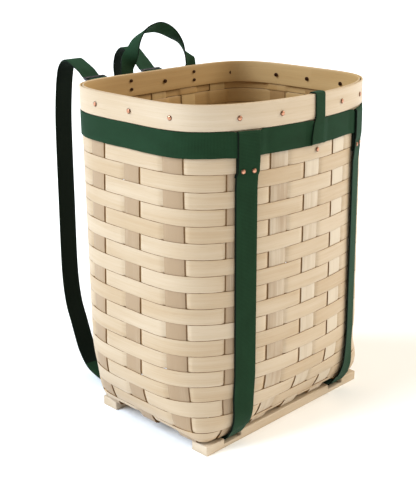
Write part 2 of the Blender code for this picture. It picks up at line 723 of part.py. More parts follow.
def front_strap(side, finish, parent):
    """A strap looped over the band, down the face, through both skids' notches."""
    hand = 1.0 if side == "right" else -1.0
    number = FRONT.index(("front", int(hand) * LONG_REACH))
    line = [(UNDER_BAND, BAND_BOTTOM - STRAP_END_DROP), (UNDER_BAND, BAND_BOTTOM)]
    line += loop_round(BAND_STAND, BAND_TOP, LOOP_RADIUS, math.pi, 0.0, 4)
    line += [(OVER_BAND, BAND_BOTTOM - HALF_WEB),
             (DOUBLED_OFFSET, FRONT_RIVET_Z + HEAD_RADIUS + HALF_WEB),
             (DOUBLED_OFFSET, BAND_BOTTOM - STRAP_END_DROP),
             (STRAP_STAND, BAND_BOTTOM - 2.0 * STRAP_END_DROP)]
    levels = [edge for edge in ROW_EDGES if FIRST_ROW_TOP <= edge < line[-1][1] - STRAP_END_DROP]
    sparse = [edge for edge in levels if edge < TUCK_TOP + ROW_PITCH]
    sparse += levels[len(sparse)::3]
    line += [(STRAP_STAND + (TUCK_STAND if height < TUCK_TOP else 0.0), height)
             for height in reversed(sparse)]
    centres, across, halves = [], [], []
    for offset, height in line:
        wanted = lerp(NOTCH_X, STRAP_X_TOP, height / RIM_TOP)
        place, way, outer = wall_frame(height, number)
        shift = (hand * wanted - place[0]) / way[0]
        centres.append(place + way * shift + outer * offset)
        across.append(way)
        share = min(height / NARROW_FROM, 1.0)
        halves.append(0.5 * lerp(NOTCHED_WIDTH, WEBBING_WIDTH, share))
    x = hand * NOTCH_X
    mouth = -SKID_OUTER_Y
    dip = [(mouth + SKID_WIDTH * run, lerp(STRAP_FLOOR, SKID_HEIGHT, rise))
           for run, rise in NOTCH_DIP_SHARES]
    dip += [(-SKID_INNER_Y, STRAP_FLOOR), (SKID_INNER_Y, STRAP_FLOOR), (FIXED_END_Y, STRAP_FLOOR)]
    for y, height in dip:
        centres.append(np.array([x, y, height]))
        across.append(np.array([1.0, 0.0, 0.0]))
        halves.append(0.5 * NOTCHED_WIDTH)
    return ribbon("front_strap_" + side, centres, across, halves, WEBBING_THICKNESS, finish, parent)


def buckle_frame():
    """The buckle's centre in Y and Z, the way down its ramp and the way up from it."""
    centre = np.array([BUCKLE_Y, BUCKLE_Z])
    down = unit(np.array([-1.0, -BUCKLE_SLOPE_SHARE]))
    up = np.array([down[1], -down[0]])
    return centre, down, up


def strap_x(height):
    """How far out a shoulder strap is at one height."""
    share = (height - STRAP_FLOOR) / (BUCKLE_Z - STRAP_FLOOR)
    return lerp(NOTCH_X, SHOULDER_X_TOP, min(max(share, 0.0), 1.0))


def shoulder_strap(side, finish, parent):
    """The wearer's strap: out of the rear notch, up behind the back, into its buckle."""
    hand = 1.0 if side == "right" else -1.0
    tip = FIXED_END_Y + 2.0 * SEAT_GAP
    route = [(tip, STRAP_FLOOR)]
    route += [(tip + FLOOR_RUN * share, RIM_TOP * rise) for share, rise in FLOOR_SHARES]
    route += [(BACK_Y + STRAP_REACH * reach, RIM_TOP * rise) for reach, rise in RISE_SHARES]
    centre, down, up = buckle_frame()
    over = 0.5 * BUCKLE_THICKNESS + 2.0 * SEAT_GAP + HALF_WEB
    route.append(tuple(centre - down * RAMP_LEAD - up * over))
    curve = smooth(route, STRAP_SAMPLES)
    top_bar = BUCKLE_BAR_PITCH + 0.5 * BUCKLE_BAR
    gap = BUCKLE_BAR_PITCH - BUCKLE_BAR
    lean = 0.36 * gap
    face = 0.5 * BUCKLE_THICKNESS
    threading = [(-top_bar, -over), (-top_bar + BUCKLE_BAR, -over),
                 (-top_bar + BUCKLE_BAR + lean, -face), (-0.5 * BUCKLE_BAR - lean, face),
                 (-0.5 * BUCKLE_BAR, over), (TAIL_REACH, over)]
    curve += [centre + down * along + up * rise for along, rise in threading]
    centres = [np.array([hand * strap_x(z), y, z]) for y, z in curve]
    across = ways_across(centres, np.array([1.0, 0.0, 0.0]))
    run = np.concatenate([[0.0], np.cumsum(np.linalg.norm(np.diff(centres, axis=0), axis=1))])
    full = [lerp(NOTCHED_WIDTH, WEBBING_WIDTH, min(z / NARROW_FROM, 1.0)) for y, z in curve]
    halves = [min(0.5 * width, TIP_HALF_WIDTH + along) for width, along in zip(full, run)]
    return ribbon("shoulder_strap_" + side, centres, across, halves, WEBBING_THICKNESS, finish,
                  parent)


def strap_buckle(side, finish, parent):
    """A three bar slide: an outer frame with one bar between its two slots."""
    hand = 1.0 if side == "right" else -1.0
    centre, down, up = buckle_frame()
    half_slot = 0.5 * WEBBING_WIDTH + BUCKLE_SIDE_GAP
    half_width = half_slot + BUCKLE_RAIL
    half_length = BUCKLE_BAR_PITCH + 0.5 * BUCKLE_BAR
    half = 0.5 * BUCKLE_THICKNESS
    builder = bmesh.new()
    xs = [-half_width, -half_slot, half_slot, half_width]
    ys = [-half_length, -half_length + BUCKLE_BAR, -0.5 * BUCKLE_BAR,
          0.5 * BUCKLE_BAR, half_length - BUCKLE_BAR, half_length]
    grid = {}
    for i, x in enumerate(xs):
        for j, y in enumerate(ys):
            middle = centre + down * y - up * half
            grid[i, j] = builder.verts.new((hand * SHOULDER_X_TOP + x, middle[0], middle[1]))
    for i in range(len(xs) - 1):
        for j in range(len(ys) - 1):
            if i == 1 and j in (1, 3):
                continue
            builder.faces.new((grid[i, j], grid[i + 1, j], grid[i + 1, j + 1], grid[i, j + 1]))
    grown = bmesh.ops.extrude_face_region(builder, geom=builder.faces[:])
    moved = [item for item in grown["geom"] if isinstance(item, bmesh.types.BMVert)]
    push = up * BUCKLE_THICKNESS
    bmesh.ops.translate(builder, verts=moved, vec=(0.0, push[0], push[1]))
    bmesh.ops.recalc_face_normals(builder, faces=builder.faces)
    mesh = bpy.data.meshes.new("strap_buckle_" + side)
    builder.to_mesh(mesh)
    builder.free()
    return add_object("strap_buckle_" + side, mesh, finish, parent)


def tab_tip():
    """The middle of the gap between a tab's point and its buckle, in Y and Z."""
    centre, down, up = buckle_frame()
    return centre + down * (BUCKLE_BAR_PITCH + 0.5 * BUCKLE_BAR + SEAT_GAP)


def strap_tab(side, finish, parent):
    """The short tab sewn to the band that holds a buckle."""
    hand = 1.0 if side == "right" else -1.0
    centre, down, up = buckle_frame()
    tip = tab_tip()
    offset = BAND_OFFSET + 0.5 * BAND_THICKNESS + SEAT_GAP + HALF_WEB
    number = STAKES.index(("back", int(hand)))
    low, way, outer = wall_frame(BAND_BOTTOM + TAB_LOW_END, number)
    high = wall_frame(BAND_TOP, number)[0]
    root_y = max(low[1], high[1]) + offset
    lean = math.atan2(-down[1], -down[0])
    turn = 0.5 * math.pi - lean
    drop = tip[1] - (tip[0] - root_y) * math.tan(lean)
    reach = TAB_BEND_RADIUS * math.tan(0.5 * turn)
    corner_z = drop
    start_z = corner_z - reach
    line = [(root_y, BAND_BOTTOM + TAB_LOW_END), (root_y, start_z)]
    for step in range(1, TAB_BEND_STEPS + 1):
        angle = turn * step / TAB_BEND_STEPS
        line.append((root_y + TAB_BEND_RADIUS * (1.0 - math.cos(angle)),
                     start_z + TAB_BEND_RADIUS * math.sin(angle)))
    point = 0.5 * WEBBING_WIDTH - TIP_HALF_WIDTH
    line.append(tuple(tip + down * (SEAT_GAP + point)))
    line.append(tuple(tip + down * SEAT_GAP))
    x = hand * SHOULDER_X_TOP
    centres = [np.array([x, y, z]) for y, z in line]
    across = [np.array([1.0, 0.0, 0.0])] * len(line)
    halves = [0.5 * WEBBING_WIDTH] * (len(line) - 1) + [TIP_HALF_WIDTH]
    return ribbon("strap_tab_" + side, centres, across, halves, WEBBING_THICKNESS, finish, parent)


def handle_foot(side):
    """The line of a handle end's hinge: its place and the way out from the rim."""
    hand = 1.0 if side == "right" else -1.0
    number = STAKES.index(("back", int(hand)))
    place, way, outer = wall_frame(RIM_TOP, number)
    shift = (HANDLE_SHIFT + hand * HANDLE_X - place[0]) / way[0]
    return place + way * shift + outer * HANDLE_OFFSET, number, shift


def handle_tab(side, finish, parent):
    """A handle end, riveted flat to the outside of the rim."""
    foot, number, shift = handle_foot(side)
    centres, across = [], []
    for height in (RIM_TOP - HANDLE_TAB_DROP, RIM_TOP):
        place, way, outer = wall_frame(height, number, shift)
        centres.append(place + outer * HANDLE_OFFSET)
        across.append(-way)
    for drop in (HALF_WEB, 0.0):
        centres.append(np.array([foot[0], foot[1], HANDLE_HINGE_Z - 0.5 * SEAT_GAP - drop]))
        across.append(np.array([1.0, 0.0, 0.0]))
    halves = [0.5 * HANDLE_WIDTH] * len(centres)
    return ribbon("handle_tab_" + side, centres, across, halves, WEBBING_THICKNESS, finish, parent,
                  thin_rows=(-1,))


def carry_handle(finish, parent):
    """The carrying loop: a strip that turns over between each leg and the top."""
    foot_y = handle_foot("left")[0][1]
    edge = HANDLE_HINGE_Z + 0.5 * SEAT_GAP
    start = edge + 2.0 * HALF_WEB
    route = [(HANDLE_SHIFT + HANDLE_X * x, foot_y + HANDLE_BULGE * y, start + HANDLE_RISE * z,
              math.radians(turn)) for x, y, z, turn in HANDLE_PATH_SHARES]
    curve = smooth(route, HANDLE_SAMPLES)
    centres = [point[:3] for point in curve]
    turns = [point[3] for point in curve]
    legs = [[np.array([HANDLE_SHIFT + side * HANDLE_X, foot_y, edge + rise])
             for rise in (0.0, HALF_WEB)]
            for side in (-1.0, 1.0)]
    tangents = np.gradient(np.array(centres), axis=0)
    back = np.array([0.0, 1.0, 0.0])
    across = []
    for tangent, turn in zip(tangents, turns):
        tangent = unit(tangent)
        side = unit(back - tangent * np.dot(back, tangent))
        lift = np.cross(side, tangent)
        across.append(unit(side * math.cos(turn) + lift * math.sin(turn)))
    centres = legs[0] + centres + legs[1][::-1]
    start_way, end_way = np.array([-1.0, 0.0, 0.0]), np.array([1.0, 0.0, 0.0])
    across = [start_way] * 3 + across[1:-1] + [end_way] * 3
    halves = [0.5 * HANDLE_WIDTH] * len(centres)
    return ribbon("carry_handle", centres, across, halves, WEBBING_THICKNESS, finish, parent,
                  thin_rows=(0, -1))


def band_keeper(finish, parent):
    """A tab from inside the wall, over the rim and round the band's lower edge."""
    inner_low = -(WEAVE_FACE + SEAT_GAP + HALF_WEB + KEEPER_INNER_EASE)
    inner_rim = -(HOOP_FACE + SEAT_GAP + HALF_WEB + KEEPER_INNER_EASE)
    outer_rim = HOOP_FACE + SEAT_GAP + HALF_WEB
    over = RIM_TOP + SEAT_GAP + HALF_WEB
    line = [(inner_low, KEEPER_RIVET_Z - KEEPER_END_DROP), (inner_low, KEEPER_RIVET_Z + KEEPER_END_DROP),
            (inner_rim, RIM_BOTTOM - HALF_WEB), (inner_rim, over - HALF_WEB),
            (inner_rim + HALF_WEB, over), (outer_rim - HALF_WEB, over),
            (outer_rim, over - HALF_WEB), (outer_rim, RIM_BOTTOM + WEBBING_THICKNESS),
            (OVER_BAND, BAND_TOP + HALF_WEB)]
    line += loop_round(BAND_STAND, BAND_BOTTOM, LOOP_RADIUS, 0.0, -math.pi, 4)
    line.append((UNDER_BAND, BAND_BOTTOM + KEEPER_TUCK))
    centres, across = [], []
    for offset, height in line:
        place, way, outer = keeper_frame(min(height, RIM_TOP))
        place[2] = height
        centres.append(place + outer * offset)
        across.append(way)
    halves = [0.5 * KEEPER_WIDTH] * len(line)
    return ribbon("band_keeper", centres, across, halves, WEBBING_THICKNESS, finish, parent)


def rivet(name, spot, low, high, finish, parent):
    """A copper rivet square to the wall, its head outside, its burr inside."""
    place, way, outer = spot
    burr = low - SEAT_GAP
    head = high + SEAT_GAP
    profile = [(0.0, burr - 1.5 * BURR_HEIGHT), (BURR_RADIUS, burr - BURR_HEIGHT),
               (BURR_RADIUS, burr), (SHANK_RADIUS, burr), (SHANK_RADIUS, head),
               (HEAD_RADIUS, head), (0.78 * HEAD_RADIUS, head + 0.66 * HEAD_HEIGHT),
               (0.0, head + HEAD_HEIGHT)]
    if low > 0.0:
        profile = [(0.0, burr - BURR_HEIGHT)] + profile[1:]
    item = turned(name, profile, RIVET_SIDES, finish, parent, place, outer)
    hole = [(0.0, low - CUT_OVERRUN), (SHANK_RADIUS + SEAT_GAP, low - CUT_OVERRUN),
            (SHANK_RADIUS + SEAT_GAP, high + CUT_OVERRUN), (0.0, high + CUT_OVERRUN)]
    cutter = turned(name + "_hole", hole, RIVET_SIDES, None, parent, place, outer)
    cutter.hide_render = True
    cutter.display_type = "WIRE"
    return item, cutter


def rivets(finish, parent, pieces):
    """Every rivet, with its hole through each piece that it holds."""
    for side in ("left", "right"):
        hand = 1.0 if side == "right" else -1.0
        number = FRONT.index(("front", int(hand) * LONG_REACH))
        place, way, outer = wall_frame(FRONT_RIVET_Z, number)
        wanted = lerp(NOTCH_X, STRAP_X_TOP, FRONT_RIVET_Z / RIM_TOP)
        centre = (hand * wanted - place[0]) / way[0]
        for count, step in enumerate((-0.5, 0.5)):
            name = "front_rivet_%s_%d" % (side, count + 1)
            spot = wall_frame(FRONT_RIVET_Z, number, centre + step * FRONT_RIVET_PITCH)
            item, cutter = rivet(name, spot, UNDER_BAND - HALF_WEB, DOUBLED_OFFSET + HALF_WEB,
                                 finish, parent)
            cut(pieces["front_strap_" + side], cutter)
        foot, back, shift = handle_foot(side)
        for count in range(2):
            height = RIM_TOP - HANDLE_RIVET_LOW + count * HANDLE_RIVET_PITCH
            name = "handle_rivet_%s_%d" % (side, count + 1)
            item, cutter = rivet(name, wall_frame(height, back, shift), -HOOP_FACE,
                                 HANDLE_OFFSET + HALF_WEB, finish, parent)
            stake = "stake_long_%d" % (int(hand) + LONG_REACH + 1)
            for held in ("handle_tab_" + side, "rim_outer", stake, "rim_inner"):
                cut(pieces[held], cutter)
    low = -(WEAVE_FACE + SEAT_GAP + WEBBING_THICKNESS + KEEPER_INNER_EASE)
    item, cutter = rivet("keeper_rivet", keeper_frame(KEEPER_RIVET_Z, KEEPER_RIVET_SHIFT), low,
                         WEAVE_FACE, finish, parent)
    row = max(index for index, edge in enumerate(ROW_EDGES) if edge < KEEPER_RIVET_Z)
    for held in ("band_keeper", "weaver_%02d" % (row + 1)):
        cut(pieces[held], cutter)


def centre_origin(frame):
    """Move the whole basket so that the origin is under the middle of its outline."""
    graph = bpy.context.evaluated_depsgraph_get()
    ys = []
    for item in bpy.data.objects:
        if item.type != "MESH" or item.hide_render:
            continue
        shown = item.evaluated_get(graph)
        mesh = shown.to_mesh()
        ys += [(item.matrix_world @ vertex.co).y for vertex in mesh.vertices]
        shown.to_mesh_clear()
    frame.location.y = -0.5 * (min(ys) + max(ys))
    bpy.context.view_layer.update()


def main():
    """Build every piece and report where the joints lie."""
    for item in list(bpy.data.objects):
        bpy.data.objects.remove(item)
    ash = material("ash_splint", (0.80, 0.66, 0.46), 0.6)
    rim_ash = material("rim_ash", (0.84, 0.72, 0.54), 0.55)
    runner = material("skid_wood", (0.82, 0.70, 0.50), 0.6)
    webbing = material("green_webbing", (0.025, 0.10, 0.055), 0.85)
    copper = material("copper", (0.72, 0.36, 0.22), 0.35, 1.0)
    dark = material("buckle_black", (0.03, 0.03, 0.035), 0.4, 0.6)

    frame = add_empty("basket_frame", (0.0, 0.0, 0.0))
    foot = handle_foot("left")[0]
    hinge = add_empty("handle_hinge", (0.0, foot[1], HANDLE_HINGE_Z), frame)
    tip = tab_tip()
    swings = {}
    for side, hand in (("left", -1.0), ("right", 1.0)):
        place = (hand * NOTCH_X, FIXED_END_Y + SEAT_GAP, STRAP_FLOOR)
        swings[side] = add_empty("strap_swing_" + side, place, frame)

    pieces = {}
    made = [weaver(row, ash, frame) for row in range(len(ROW_EDGES) - 1)]
    made += [long_stake(number, ash, frame) for face, number in FRONT]
    made += [cross_stake(number, ash, frame) for face, number in RIGHT]
    base_fillers(ash, frame)
    made.append(hoop("rim_outer", HOOP_OFFSET, HOOP_THICKNESS, RIM_BOTTOM, RIM_TOP, rim_ash, frame))
    made.append(hoop("rim_inner", -HOOP_OFFSET, HOOP_THICKNESS, RIM_BOTTOM, RIM_TOP, rim_ash, frame))
    skid("skid_front", -SKID_OUTER_Y, runner, frame)
    skid("skid_rear", SKID_INNER_Y, runner, frame)
    harness_band(webbing, frame)
    made.append(band_keeper(webbing, frame))
    for side in ("left", "right"):
        made.append(front_strap(side, webbing, frame))
        made.append(handle_tab(side, webbing, frame))
        strap_tab(side, webbing, frame)
        shoulder_strap(side, webbing, swings[side])
        strap_buckle(side, dark, swings[side])
    carry_handle(webbing, hinge)
    for item in made:
        pieces[item.name] = item
    rivets(copper, frame, pieces)
    centre_origin(frame)

    print("handle hinge", [round(value, 6) for value in hinge.matrix_world.translation])
    for side, hand in (("left", -1.0), ("right", 1.0)):
        top = Vector((hand * SHOULDER_X_TOP, tip[0] + frame.location.y, tip[1]))
        low = swings[side].matrix_world.translation
        print("swing", side, [round(value, 6) for value in low],
              [round(value, 6) for value in (top - low).normalized()])


main()
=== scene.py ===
"""Looks for a pack basket: woven splints, bent rim hoops, wooden skids and a webbing harness.

The splints are laid again on the wall's own formula, with more points than the solids have,
so that they weave, round the corners and carry their grain along themselves.  X is the
basket's width, -Y its outer face with the two long straps, +Y the wearer's side.
Every length is in metres.
"""

import functools
import json
import math

import bpy
import numpy as np
from mathutils import Matrix, Vector


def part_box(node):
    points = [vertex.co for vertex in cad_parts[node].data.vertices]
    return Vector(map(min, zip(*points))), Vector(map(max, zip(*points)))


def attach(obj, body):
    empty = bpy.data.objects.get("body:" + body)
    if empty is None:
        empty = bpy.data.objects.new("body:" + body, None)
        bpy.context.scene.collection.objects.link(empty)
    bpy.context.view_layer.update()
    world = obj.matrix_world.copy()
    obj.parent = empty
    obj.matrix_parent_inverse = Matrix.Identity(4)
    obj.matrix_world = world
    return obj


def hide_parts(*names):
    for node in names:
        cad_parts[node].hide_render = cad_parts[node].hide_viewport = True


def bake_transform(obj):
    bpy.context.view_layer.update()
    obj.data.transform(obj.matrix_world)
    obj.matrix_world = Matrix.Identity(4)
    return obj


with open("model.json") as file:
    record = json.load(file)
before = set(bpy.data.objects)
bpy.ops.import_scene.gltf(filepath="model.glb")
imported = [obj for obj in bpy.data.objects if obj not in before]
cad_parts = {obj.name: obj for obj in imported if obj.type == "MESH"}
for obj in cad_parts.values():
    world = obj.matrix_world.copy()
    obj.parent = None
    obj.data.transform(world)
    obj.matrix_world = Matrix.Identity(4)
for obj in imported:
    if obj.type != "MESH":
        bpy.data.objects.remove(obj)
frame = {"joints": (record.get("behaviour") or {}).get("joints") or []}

bl_info = {
    "name": "Pack Basket Looks",
    "version": (1, 0, 0),
    "blender": (4, 5, 0),
    "location": "3D View > Sidebar > Pack Basket",
    "description": "Builds the woven wall, rim, skids and harness of a pack basket",
    "category": "Object",
}

# The wall's plan at the rim, where its lines meet the floor, and at the base
RIM_TOP = 0.457
RIM_PLAN = (0.1753, 0.143, 0.0095, 2.05, 6.0, 4.0)
FOOT_PLAN = (0.192, 0.1345, 0.0, 2.2, 4.4, 3.5)
BASE_PLAN = (0.164, 0.102, 0.0, 12.0, 12.0, 12.0)
BASE_HALF_WIDTH = BASE_PLAN[0]
BASE_HALF_DEPTH = BASE_PLAN[1]
TUCK_TOP = 0.110
TUCK_POWER = 2.0
SQUARING_POWER = 2.0

# Splints and hoops
STAKE_WIDTH = 0.028
STAKE_THICKNESS = 0.0012
LONG_PITCH_RIM = 0.058
LONG_PITCH_BASE = 0.0615
CROSS_PITCH_RIM = 0.066
CROSS_PITCH_BASE = 0.074
FILLER_WIDTH = 0.020
FILLER_INSET = 0.008
BEND_INSET = 0.004
BASE_ABOVE_SKIDS = 0.0024
BASE_WEAVE = 0.0015
WALL_BOTTOM_RISE = 0.0015
FIRST_ROW_TOP = 0.0338
ROW_PITCH = 0.0212
STAKE_BELOW_RIM_TOP = 0.004
STAKE_TRIM_SHARE = 0.985
SPLINT_SOFTNESS_SHARE = 0.18
CORNER_DIP = 0.0032
SIDE_LIFT = 0.0068
LOWEST_ROW_SHARES = (1.0, 0.55, 0.2)
HOOP_GAP = 0.0002
HOOP_SOFTNESS = 0.00075

# Skids and harness
SKID_OUTER_Y = 0.1043
SKID_WIDTH = 0.028
NOTCH_WIDTH = 0.032
NOTCH_FLOOR = 0.0055
NOTCH_X = 0.110
SKID_SOFTNESS = 0.0013
CUT_OVERRUN = 0.01
STRAP_X_TOP = 0.108
BAND_BELOW_RIM = 0.0035
BAND_WIDTH = 0.034
FRONT_RIVET_DROP = 0.011
FRONT_RIVET_PITCH = 0.0146
STRAP_EXIT = 0.0040

# The keeper, the band where it shows, and how the front straps lean
KEEPER_X = 0.0045
KEEPER_HALF_WIDTH = 0.012
KEEPER_NARROW_HALF = 0.0092
KEEPER_RIVET_X = 0.0075
KEEPER_LIFT = 0.0036
BELT_BELOW_RIM = 0.0004
BELT_WIDTH = 0.0320
BELT_THICKNESS = 0.0017
BELT_SOFTNESS = 0.0005
BELT_OFFSET = 0.0026
BELT_STAND = 0.0048
BELT_WANDER = 0.0004
BULGE_MARGIN = 0.001
BULGE_EASE = 0.010
COVER_INSET = 0.002
COVER_EASE = 0.0015
KEEPER_CLEARANCE = 0.0004
STRAP_LEANS = {-1.0: 0.0, 1.0: -0.0045}
DOUBLED_LEAN = 0.0020
DOUBLED_BELOW_RIVET = 0.008
DOUBLED_EASE = 0.006
# Width of the painted shadow along each front strap's first edge
STRAP_SHADOW_BORDER = 0.0018
STRAP_COLUMNS = 7
LOOP_UNDER = 0.0028
LOOP_OVER = 0.0068
STRAP_DOUBLED = 0.0056
STRAP_STANDS = ((0.0041, 0.10), (0.0053, 0.075), (0.0057, FIRST_ROW_TOP))
STRAP_TAIL = 0.020
STRAP_END_GAP = 0.002
STRAP_FLOOR = NOTCH_FLOOR + 0.0012
FIXED_END_Y = SKID_OUTER_Y + STRAP_EXIT
SIDES = (("left", -1.0), ("right", 1.0))

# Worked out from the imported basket
SKID_LOW, SKID_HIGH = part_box("skid_front")
SHIFT = SKID_LOW.y + SKID_OUTER_Y
RIM_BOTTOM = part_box("rim_outer")[0].z
SKID_HEIGHT = SKID_HIGH.z
BAND_TOP = RIM_BOTTOM - BAND_BELOW_RIM
BAND_BOTTOM = BAND_TOP - BAND_WIDTH
BELT_TOP = RIM_BOTTOM - BELT_BELOW_RIM
BELT_BOTTOM = BELT_TOP - BELT_WIDTH
FRONT_RIVET_Z = BAND_BOTTOM - FRONT_RIVET_DROP
BASE_LEVEL = SKID_HEIGHT + BASE_ABOVE_SKIDS
WALL_BOTTOM = BASE_LEVEL + WALL_BOTTOM_RISE

# How far in from the skid's face, and how high, a front strap's middle is where it enters a notch
MOUTH_STEPS = ((-0.001, SKID_HEIGHT), (0.003, 0.0112), (0.009, 0.0085), (0.018, STRAP_FLOOR))

# The frame's hinges, the stakes in the order of the ring, and the heights of the rows' edges
JOINTS = {joint["name"]: joint for joint in frame["joints"]}
STAKES = [("front", i) for i in (-2, -1, 0, 1, 2)] + [("right", j) for j in (-1, 0, 1)]
STAKES += [("back", i) for i in (2, 1, 0, -1, -2)] + [("left", j) for j in (1, 0, -1)]
ROW_COUNT = math.ceil((RIM_BOTTOM - FIRST_ROW_TOP) / ROW_PITCH)
ROW_EDGES = [WALL_BOTTOM] + [FIRST_ROW_TOP + ROW_PITCH * number for number in range(ROW_COUNT)]
ROW_EDGES.append(RIM_BOTTOM)

# Tone of the long stakes from left to right, above nothing for darker, a painted reflection that pales the
# right-hand stakes, and of the cross stakes
FRONT_SHEEN_TONES = (0.34, 0.04, -0.22, -0.36, -0.30)
CROSS_TONE = 0.42

# How finely the splints follow the wall
STAKE_SHARES = (0.0, 0.25, 0.5, 0.75, 1.0)
GAP_SHARES = (0.0, 0.06, 0.13, 0.22, 0.36, 0.5, 0.64, 0.78, 0.87, 0.94, 1.0)
CORNER_SHARES = (0.0, 0.03, 0.065, 0.11, 0.16, 0.21, 0.26, 0.32, 0.38, 0.44, 0.5, 0.56, 0.62, 0.68,
                 0.74, 0.79, 0.84, 0.89, 0.935, 0.97, 1.0)
STAKE_COLUMNS = len(STAKE_SHARES)
STAKE_STEPS = STAKE_COLUMNS - 1
PLUNGE = 0.0062


def length_setting(name, description, default):
    """A length that the panel shows."""
    return bpy.props.FloatProperty(name=name, description=description, default=default, unit="LENGTH")


def number_setting(name, description, default):
    """A plain number that the panel shows."""
    return bpy.props.FloatProperty(name=name, description=description, default=default)


def colour_setting(name, description, default):
    """A colour that the panel shows."""
    return bpy.props.FloatVectorProperty(name=name, description=description, default=default, size=3,
                                         subtype="COLOR")


class BasketSizes(bpy.types.PropertyGroup):
    """Sizes of the parts that are laid on the wall."""

    splint_thickness: length_setting("Splint thickness", "Thickness of a weaver or a stake", 0.0011)
    weave_reach: length_setting(
        "Weave reach", "How far a weaver swings in front of and behind the stakes", 0.00105)
    stake_sway: length_setting(
        "Stake sway", "How far a stake is pushed the other way by the weavers", 0.0003)
    row_gap: length_setting("Row gap", "Open line between two rows of weavers", 0.00035)
    edge_wander: length_setting(
        "Edge wander", "How far a split edge strays from a straight line", 0.00022)
    hoop_thickness: length_setting("Hoop thickness", "Thickness of each rim hoop", 0.0024)
    webbing_thickness: length_setting("Webbing thickness", "Thickness of the straps", 0.0018)
    webbing_width: length_setting("Webbing width", "Width of the long straps", 0.030)
    rivet_radius: length_setting("Rivet radius", "Radius of a copper rivet's head", 0.0031)


class BasketColours(bpy.types.PropertyGroup):
    """Colours of the finishes."""

    weaver_pale: colour_setting("Weaver, pale", "Light grain of the weavers", (0.532, 0.420, 0.292))
    weaver_deep: colour_setting("Weaver, deep", "Dark grain of the weavers", (0.428, 0.300, 0.172))
    stake_pale: colour_setting("Stake, pale", "Light grain of the stakes", (0.560, 0.464, 0.344))
    stake_deep: colour_setting("Stake, deep", "Dark grain of the stakes", (0.336, 0.228, 0.132))
    rim_pale: colour_setting("Rim, pale", "Light grain of the rim hoops", (0.560, 0.452, 0.328))
    rim_deep: colour_setting("Rim, deep", "Dark grain of the rim hoops", (0.456, 0.336, 0.208))
    # Dark pores, and painted shade on the splints' edges and in the clefts
    pore_and_edge_shade: colour_setting("Split edge", "Raw edge of a splint", (0.176, 0.084, 0.018))
    webbing: colour_setting("Webbing", "Green of the harness", (0.012, 0.044, 0.018))
    webbing_dark: colour_setting(
        "Webbing, dark", "Green between the webbing's ribs", (0.006, 0.021, 0.007))
    copper: colour_setting("Copper", "Rivets", (0.60, 0.29, 0.18))
    buckle_black: colour_setting("Buckle black", "The slides", (0.035, 0.035, 0.04))


class BasketStage(bpy.types.PropertyGroup):
    """Camera and light."""

    camera_place: bpy.props.FloatVectorProperty(
        name="Camera place", description="Where the camera stands", size=3, subtype="TRANSLATION",
        unit="LENGTH", default=(-0.94498, -0.961382, 0.66045))
    camera_aim: bpy.props.FloatVectorProperty(
        name="Camera aim", description="The way that the camera looks", size=3, subtype="DIRECTION",
        default=(0.67579566, 0.66768638, -0.31224209))
    lens: number_setting("Lens", "Focal length on a 36 mm wide frame", 83.98)
    key_power: number_setting("Key light", "Strength of the light at the left", 4.69)
    fill_power: number_setting("Fill light", "Strength of the light at the right", 3.02)
    sky: number_setting("Surroundings", "Strength of the pale surroundings", 0.4625)
    key_colour: colour_setting("Key colour", "Cool light at the left", (0.735, 0.855, 1.0))
    fill_colour: colour_setting("Fill colour", "Warm light at the right", (1.0, 0.96, 0.87))
    sky_colour: colour_setting("Surroundings, colour", "Warm surroundings", (1.0, 0.93, 0.81))


# The wall's surface

def lerp(start, end, share):
    """The value that lies a share of the way from start to end."""
    return start + (end - start) * share


def unit(vector):
    """The vector at length 1."""
    return vector / np.linalg.norm(vector)


def ease(share):
    """A share made to start and stop gently."""
    share = np.clip(share, 0.0, 1.0)
    return share * share * (3.0 - 2.0 * share)


def lengths_along(line):
    """Lengths from the start along a line of points."""
    return np.concatenate([[0.0], np.cumsum(np.linalg.norm(np.diff(line, axis=0), axis=1))])


@functools.lru_cache(maxsize=None)
def plan_at(height):
    """Half width, half depth, centre in Y and the three powers of the wall at one height."""
    rise = height / RIM_TOP
    tuck = (TUCK_TOP - height) / (TUCK_TOP - WALL_BOTTOM)
    share = min(max(tuck, 0.0), 1.0) ** TUCK_POWER
    upper = [lerp(foot, rim, rise) for foot, rim in zip(FOOT_PLAN, RIM_PLAN)]
    shares = (share,) * 3 + (share ** SQUARING_POWER,) * 3
    return tuple(lerp(high, low, part) for high, low, part in zip(upper, BASE_PLAN, shares))


def face_point(plan, face, along):
    """The point of one face that lies at an X, or at a Y on the narrow faces."""
    half_width, half_depth, centre, front_power, back_power, side_power = plan
    if face in ("front", "back"):
        power = back_power if face == "back" else front_power
        inside = max(1.0 - abs(along / half_width) ** power, 0.0)
        reach = half_depth * inside ** (1.0 / side_power)
        return np.array([along, centre + (reach if face == "back" else -reach)])
    share = (along - centre) / half_depth
    power = back_power if share > 0.0 else front_power
    inside = max(1.0 - abs(share) ** side_power, 0.0)
    reach = half_width * inside ** (1.0 / power)
    return np.array([reach if face == "right" else -reach, along])


def angle_of(plan, point):
    """The plan curve's own angle at a point on it."""
    half_width, half_depth, centre, front_power, back_power, side_power = plan
    x_share = point[0] / half_width
    y_share = (point[1] - centre) / half_depth
    power = back_power if y_share > 0.0 else front_power
    cosine = math.copysign(abs(x_share) ** (0.5 * power), x_share)
    sine = math.copysign(abs(y_share) ** (0.5 * side_power), y_share)
    return math.atan2(sine, cosine)


def curve_points(plan, angles):
    """Points of the plan curve at its own angles."""
    half_width, half_depth, centre, front_power, back_power, side_power = plan
    cosine, sine = np.cos(angles), np.sin(angles)
    power = np.where(sine > 0.0, back_power, front_power)
    x = half_width * np.sign(cosine) * np.abs(cosine) ** (2.0 / power)
    y = half_depth * np.sign(sine) * np.abs(sine) ** (2.0 / side_power)
    return np.stack([x, y + centre], axis=-1)


def spread(plan, start, end, shares):
    """Angles from start to end at the given shares of the way along the wall."""
    fine = np.linspace(start, end, 320)
    run = lengths_along(curve_points(plan, fine))
    return np.interp(run[-1] * np.array(shares), run, fine)


